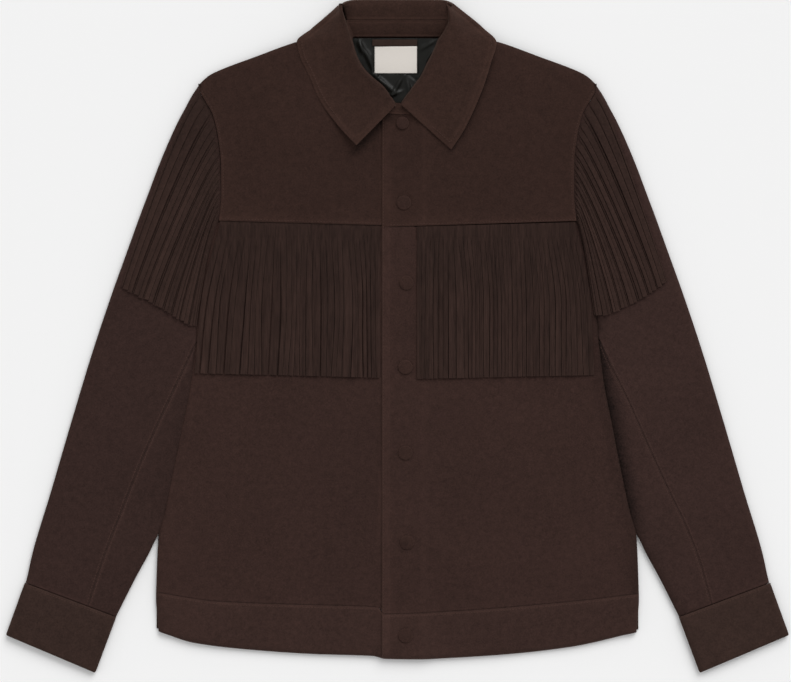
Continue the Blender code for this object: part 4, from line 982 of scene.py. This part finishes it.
chance = np.random.default_rng(5)
for side, lapped, table, top, hem, word in (
        (-1, False, LEFT_LINES, (-191.5, -18.8), (309.7, 304.7), "left"),
        (1, True, RIGHT_LINES, (21.0, 191.5), (303.6, 307.7), "right")):
    table = [line if isinstance(line, tuple) else (line, line) for line in table]
    count, stations = len(table) - 1, 22
    down = np.linspace(0, 1, stations)
    top_x = np.linspace(*top, count + 1)
    x = np.array([through([(0.0, a), (0.55, b), (1.0, c)], 0.1 + 0.9 * down)
                  for a, (b, c) in zip(top_x, table)])
    x += (chance.uniform(0.1, 0.5, (count + 1, 1)) * np.sin(down * chance.uniform(3, 8, (count + 1, 1))
          + chance.uniform(0, 6.3, (count + 1, 1))) * down)
    low_y = hem[0] + np.linspace(0, 1, count + 1) * (hem[1] - hem[0])
    y = ROOTS + down * (low_y[:, None] - ROOTS)
    lines = points_at(x, y)
    dark = (0.55 if lapped else 1.1) * chance.uniform(0, 1, (count + 1, 1)) ** 3
    gaps = 0.05 + dark * 0.6 * ease(down * 2 - 0.1)
    low_x, mid_y = 0.5 * (x[1:] + x[:-1]), 0.5 * (y[1:] + y[:-1])
    low = smooth_front(low_x, mid_y, lapped) + 0.35
    low = low + chance.uniform(0, 1.3, (count, 1)) * ease(down * 2) - 0.3 * (1 - ease(down * 8))
    tilt = np.radians(chance.uniform(-13, 13, (count, 1)) * ease(down * 2)
                      + chance.uniform(-6, 6, (count, 1)) * np.sin(down * chance.uniform(4, 9, (count, 1))))
    share = np.linspace(0, 1, 90)[None]
    up = np.array([0, 0.1, 0.25, 0.4, 0.6, 0.75, 0.85, 0.93, 0.98, 1])[:, None]
    strip_x = np.interp(share, np.linspace(0, 1, count + 1), x[:, 0]) * (1 - up)
    strip_x = strip_x + (top[0] + share * (top[1] - top[0])) * up
    strip_y = STRIP_EDGE + up * (yoke_seam(np.abs(strip_x), lapped) - 0.4 - STRIP_EDGE)
    strip_low = smooth_front(strip_x, strip_y, lapped) + 0.3 - 0.7 * (1 - ease(up / 0.35))
    strip_low = strip_low - (0.4 if lapped else 0.9) * ease((up - 0.8) / 0.2)
    strands("chest_fringe_strands_" + word, lines, gaps, low, tilt, chance.normal(-0.05, 0.06, count),
            -0.17, 0.03, points_at(strip_x, strip_y), strip_low, "chest_fringe_" + word, chest_suede)

# Sleeve fringe: points of its lower edge from the outer to the inner end, and how far the strands stand
# out from the seam before they turn down. At the hem they lie in eight bunches of three, and one alone.
SLEEVE_HEM = {"left": [(298, 402), (275, 391), (253, 378.5), (236.5, 368), (224.5, 360.5), (217, 361)],
              "right": [(290.5, 409.5), (277.5, 399), (258.5, 387.5), (242, 379.5), (228, 373),
                        (212.8, 371.5)]}
SLEEVE_REACH = {"left": (44.0, -30.0), "right": (30.0, -44.0)}
OFF_ARM = np.array([0.93, -0.36])
BUNCH = np.array([0.0, 0.16, 0.58])
SEAM_BUNCHES = (17, 15, 13, 11, 9, 8, 8, 8)
HEM_BUNCHES = (12, 12, 11.5, 11, 10, 9.5, 10, 9)
sleeve_fringe_suede = suede_material("suede_sleeve_fringe", FRINGE_SUEDE, 0.9)
for side, _, word in SIDES:
    count, stations = 25, 26
    even = np.linspace(0, 1, count + 1)
    places_at = []
    for wide in (SEAM_BUNCHES, HEM_BUNCHES):
        edge = np.concatenate([[0], np.cumsum(wide)])
        split = (edge[:-1, None] + BUNCH * np.array(wide)[:, None]).ravel()
        split = np.concatenate([split, [edge[-1] - 1.2, edge[-1]]]) / edge[-1]
        split[1:-1] += chance.uniform(-0.005, 0.005, count - 1)
        places_at.append(split)
    start = along_line(armhole_line[::-1] + (0.6, 0), places_at[0]) + OFF_ARM
    end = along_line(SLEEVE_HEM[word], places_at[1])
    end = end + np.c_[np.zeros(count + 1), chance.uniform(-1.6, 1.6, count + 1)]
    first_reach, last_reach = SLEEVE_REACH[word]
    away = even[:, None]
    first = start + np.array([0.62, -0.78]) * first_reach * (1 - 0.72 * away)
    second = end + np.concatenate([0.3 - 0.16 * away, -0.95 + 0 * away], axis=1) * last_reach
    down = np.linspace(0, 1, stations)
    t = down[None, :, None]
    lines = ((1 - t) ** 3 * start[:, None] + 3 * (1 - t) ** 2 * t * first[:, None]
             + 3 * (1 - t) * t**2 * second[:, None] + t**3 * end[:, None])
    lines[..., 0] = side * (lines[..., 0] + chance.uniform(0.1, 0.4, (count + 1, 1))
                            * np.sin(down * chance.uniform(4, 9, (count + 1, 1))) * down)
    narrow = (np.arange(count) % 3 == 0)[:, None]
    dark = np.where(np.arange(count + 1) % 3 == 2, 0.1, chance.uniform(0.3, 1, count + 1))[:, None]
    gaps = 0.06 + 0.42 * dark * (0.5 + 0.5 * ease(down * 2))
    low = (SLEEVE_TOP - 1.2 + 1.6 * ease(down * 14))[None]
    low = low + np.where(narrow, 0.0, chance.uniform(0.7, 1.8, (count, 1))) * ease(down * 6)
    low = low + relief(FINER * lines[1:, :, 0], FINER * lines[1:, :, 1])
    tilt = np.radians(chance.uniform(-12, 12, (count, 1)) * ease(down * 4))
    strip_line = along_line(armhole_line[::-1] + (0.3, 0), 60)
    strip = strip_line[None] + np.linspace(0, 2.2, 4)[:, None, None] * OFF_ARM
    strip[..., 0] *= side
    if side < 0:
        strip = strip[:, ::-1]
    strip_low = SLEEVE_TOP - 1.6 + relief(FINER * strip[..., 0], FINER * strip[..., 1])
    # The narrow strands, which lie lowest, get a little painted shade.
    strands("sleeve_fringe_strands_" + word, lines, gaps, low, tilt, chance.normal(-0.05, 0.06, count)
            - 0.1 * narrow[:, 0], -0.14 if side < 0 else -0.04, 0.13, strip[:, ::-1], strip_low,
            "sleeve_fringe_" + word, sleeve_fringe_suede)


# The stitching: rows of thick brown thread, a stitch every 3.2 mm, sunk a little into the suede.
THREAD = (0.0580, 0.0310, 0.0240)
BAND_SEWN = -8.4
LAP_COVERS = 16.5
STITCH_EVERY = 3.2
STITCH_HALF_LENGTH = 1.15
STITCH_HALF_WIDTH = 0.33
thread, shader = woven_material("thread", THREAD, 0.8, 1500.0, 1.0, "DIAGONAL", 0.3, 0.0001)
shader.inputs["Specular IOR Level"].default_value = 0.15


def stitches(name, rows, height_of, sink=0.2):
    """Spindles of thread along rows in the plane: two rings of six points and two tips for each stitch,
    turned along its row and laid at the height that height_of gives at its ends."""
    starts, ends = [], []
    for row in rows:
        length = np.hypot(*np.diff(np.asarray(row, float), axis=0).T).sum()
        at = along_line(row, max(int(length / STITCH_EVERY), 2) * 2 + 1)
        starts.append(at[0:-2:2])
        ends.append(at[2::2])
    start, end = np.concatenate(starts), np.concatenate(ends)
    way, aside = directions(end - start)
    middle = 0.5 * (start + end)
    turn = np.radians(np.arange(6) * 60.0)
    stations = np.array([-1.0, -0.55, 0.55, 1.0]) * STITCH_HALF_LENGTH
    xy = middle[:, None] + stations[None, :, None] * way[:, None]
    z = height_of(xy[..., 0], xy[..., 1]) - sink
    rings = xy[:, 1:3, None] + STITCH_HALF_WIDTH * np.cos(turn)[None, None, :, None] * aside[:, None, None]
    ring_z = z[:, 1:3, None] + STITCH_HALF_WIDTH * (0.7 + np.sin(turn))[None, None]
    body = np.concatenate([rings, ring_z[..., None]], axis=-1).reshape(len(middle), 12, 3)
    tips = np.concatenate([xy[:, ::3], z[:, ::3, None]], axis=-1)
    points = np.concatenate([body, tips], axis=1).reshape(-1, 3)
    sides = [(k, (k + 1) % 6, 6 + (k + 1) % 6, 6 + k) for k in range(6)]
    caps = [(12, (k + 1) % 6, k) for k in range(6)] + [(13, 6 + k, 6 + (k + 1) % 6) for k in range(6)]
    offset = 14 * np.arange(len(middle))
    faces = (np.array(sides)[None] + offset[:, None, None]).reshape(-1, 4).tolist()
    faces += (np.array(caps)[None] + offset[:, None, None]).reshape(-1, 3).tolist()
    return put_in(name, points, faces, thread, None)


def beside(line, distance):
    """A line moved sideways to its left by a distance."""
    line = np.asarray(line, float)
    return line + distance * directions(np.gradient(line, axis=0))[1]


for side, lapped, word in SIDES:
    start = BAND_SEWN if lapped else LAP_COVERS
    arm = beside(armhole_line, YOKE_SEWN) * (side, 1)
    seam_row = [(side * x, yoke_seam(x, lapped) + YOKE_SEWN) for x in (start, 190.5)]

    def yoke_top(x, y):
        """Height of a yoke at its rows of stitches."""
        x = side * x
        over = y - yoke_seam(x, lapped)
        return yoke_face(x, y, lapped, side) + over_fringe(x, over, distance_to(armhole_line, x, y))

    stitches("yoke_stitches_" + word, [seam_row, arm[2:]], yoke_top, 0.3)
    hem_x = np.linspace(start, 254, 60) * side
    hem_row = points_at(hem_x, through(HEM_SEAM, hem_x) - HEM_SEWN)
    stitches("hem_stitches_" + word, [hem_row], lambda x, y: front_face(side * x, y, lapped, side) - 0.1)
edge_row = np.array([(-15.1, y) for y in np.linspace(6, 588, 60)])
stitches("front_edge_stitches", [edge_row], lambda x, y: front_face(x, y, True, 1) - 0.1)
for side, _, word in SIDES:
    line = leaf_edges[word]
    corner = line[1]

    def leaf_top(x, y):
        """Height of a leaf at points 5 mm from its edges: that of the edge, with the leaf's relief."""
        return np.where(y > 675, 7.0 + 0 * x, 13.5) + relief(x, y, LEAF_CREASES) * 0.85

    front_way = (line[0] - corner) / np.linalg.norm(line[0] - corner)
    edge_way = (line[12] - corner) / np.linalg.norm(line[12] - corner)
    inward = COLLAR_INSET / math.sin(0.5 * math.acos(float(front_way @ edge_way)))
    inner_corner = corner + inward * (front_way + edge_way) / np.linalg.norm(front_way + edge_way)
    front_row = np.array([inner_corner, line[0] + (inner_corner - corner) - front_way * 12])
    outer_row = beside(line[1:], COLLAR_INSET * side)
    outer_row = outer_row[(np.linalg.norm(outer_row - corner, axis=1) > 8) & (outer_row[:, 1] < 668)]
    outer_row = np.concatenate([[inner_corner], outer_row])
    stitches("collar_stitches_" + word, [front_row, outer_row], leaf_top, 0.1)
for side, _, word in SIDES:
    inner_line_y = np.linspace(338, 50, 60)
    ix, w, _ = sleeve_frame(inner_line_y)
    mark = seam_from_inner(inner_line_y, ix, w, word)
    lines = [points_at(side * (ix + (mark + shift) * w[:, 0]), inner_line_y + (mark + shift) * w[:, 1])
             for shift in (-SLEEVE_SEWN, SLEEVE_SEWN)]
    stitches("sleeve_stitches_" + word, lines, lambda x, y: SLEEVE_TOP + sleeve_relief(x, y, side) - 0.1)
    cuff_row = (CUFF_SEAM + np.array([(7.6, -0.3), (-5.2, -5.0)])) * (side, 1)
    stitches("cuff_stitches_" + word, [cuff_row], lambda x, y: CUFF_TOP + 0.8 * relief(x, y) - 0.2)
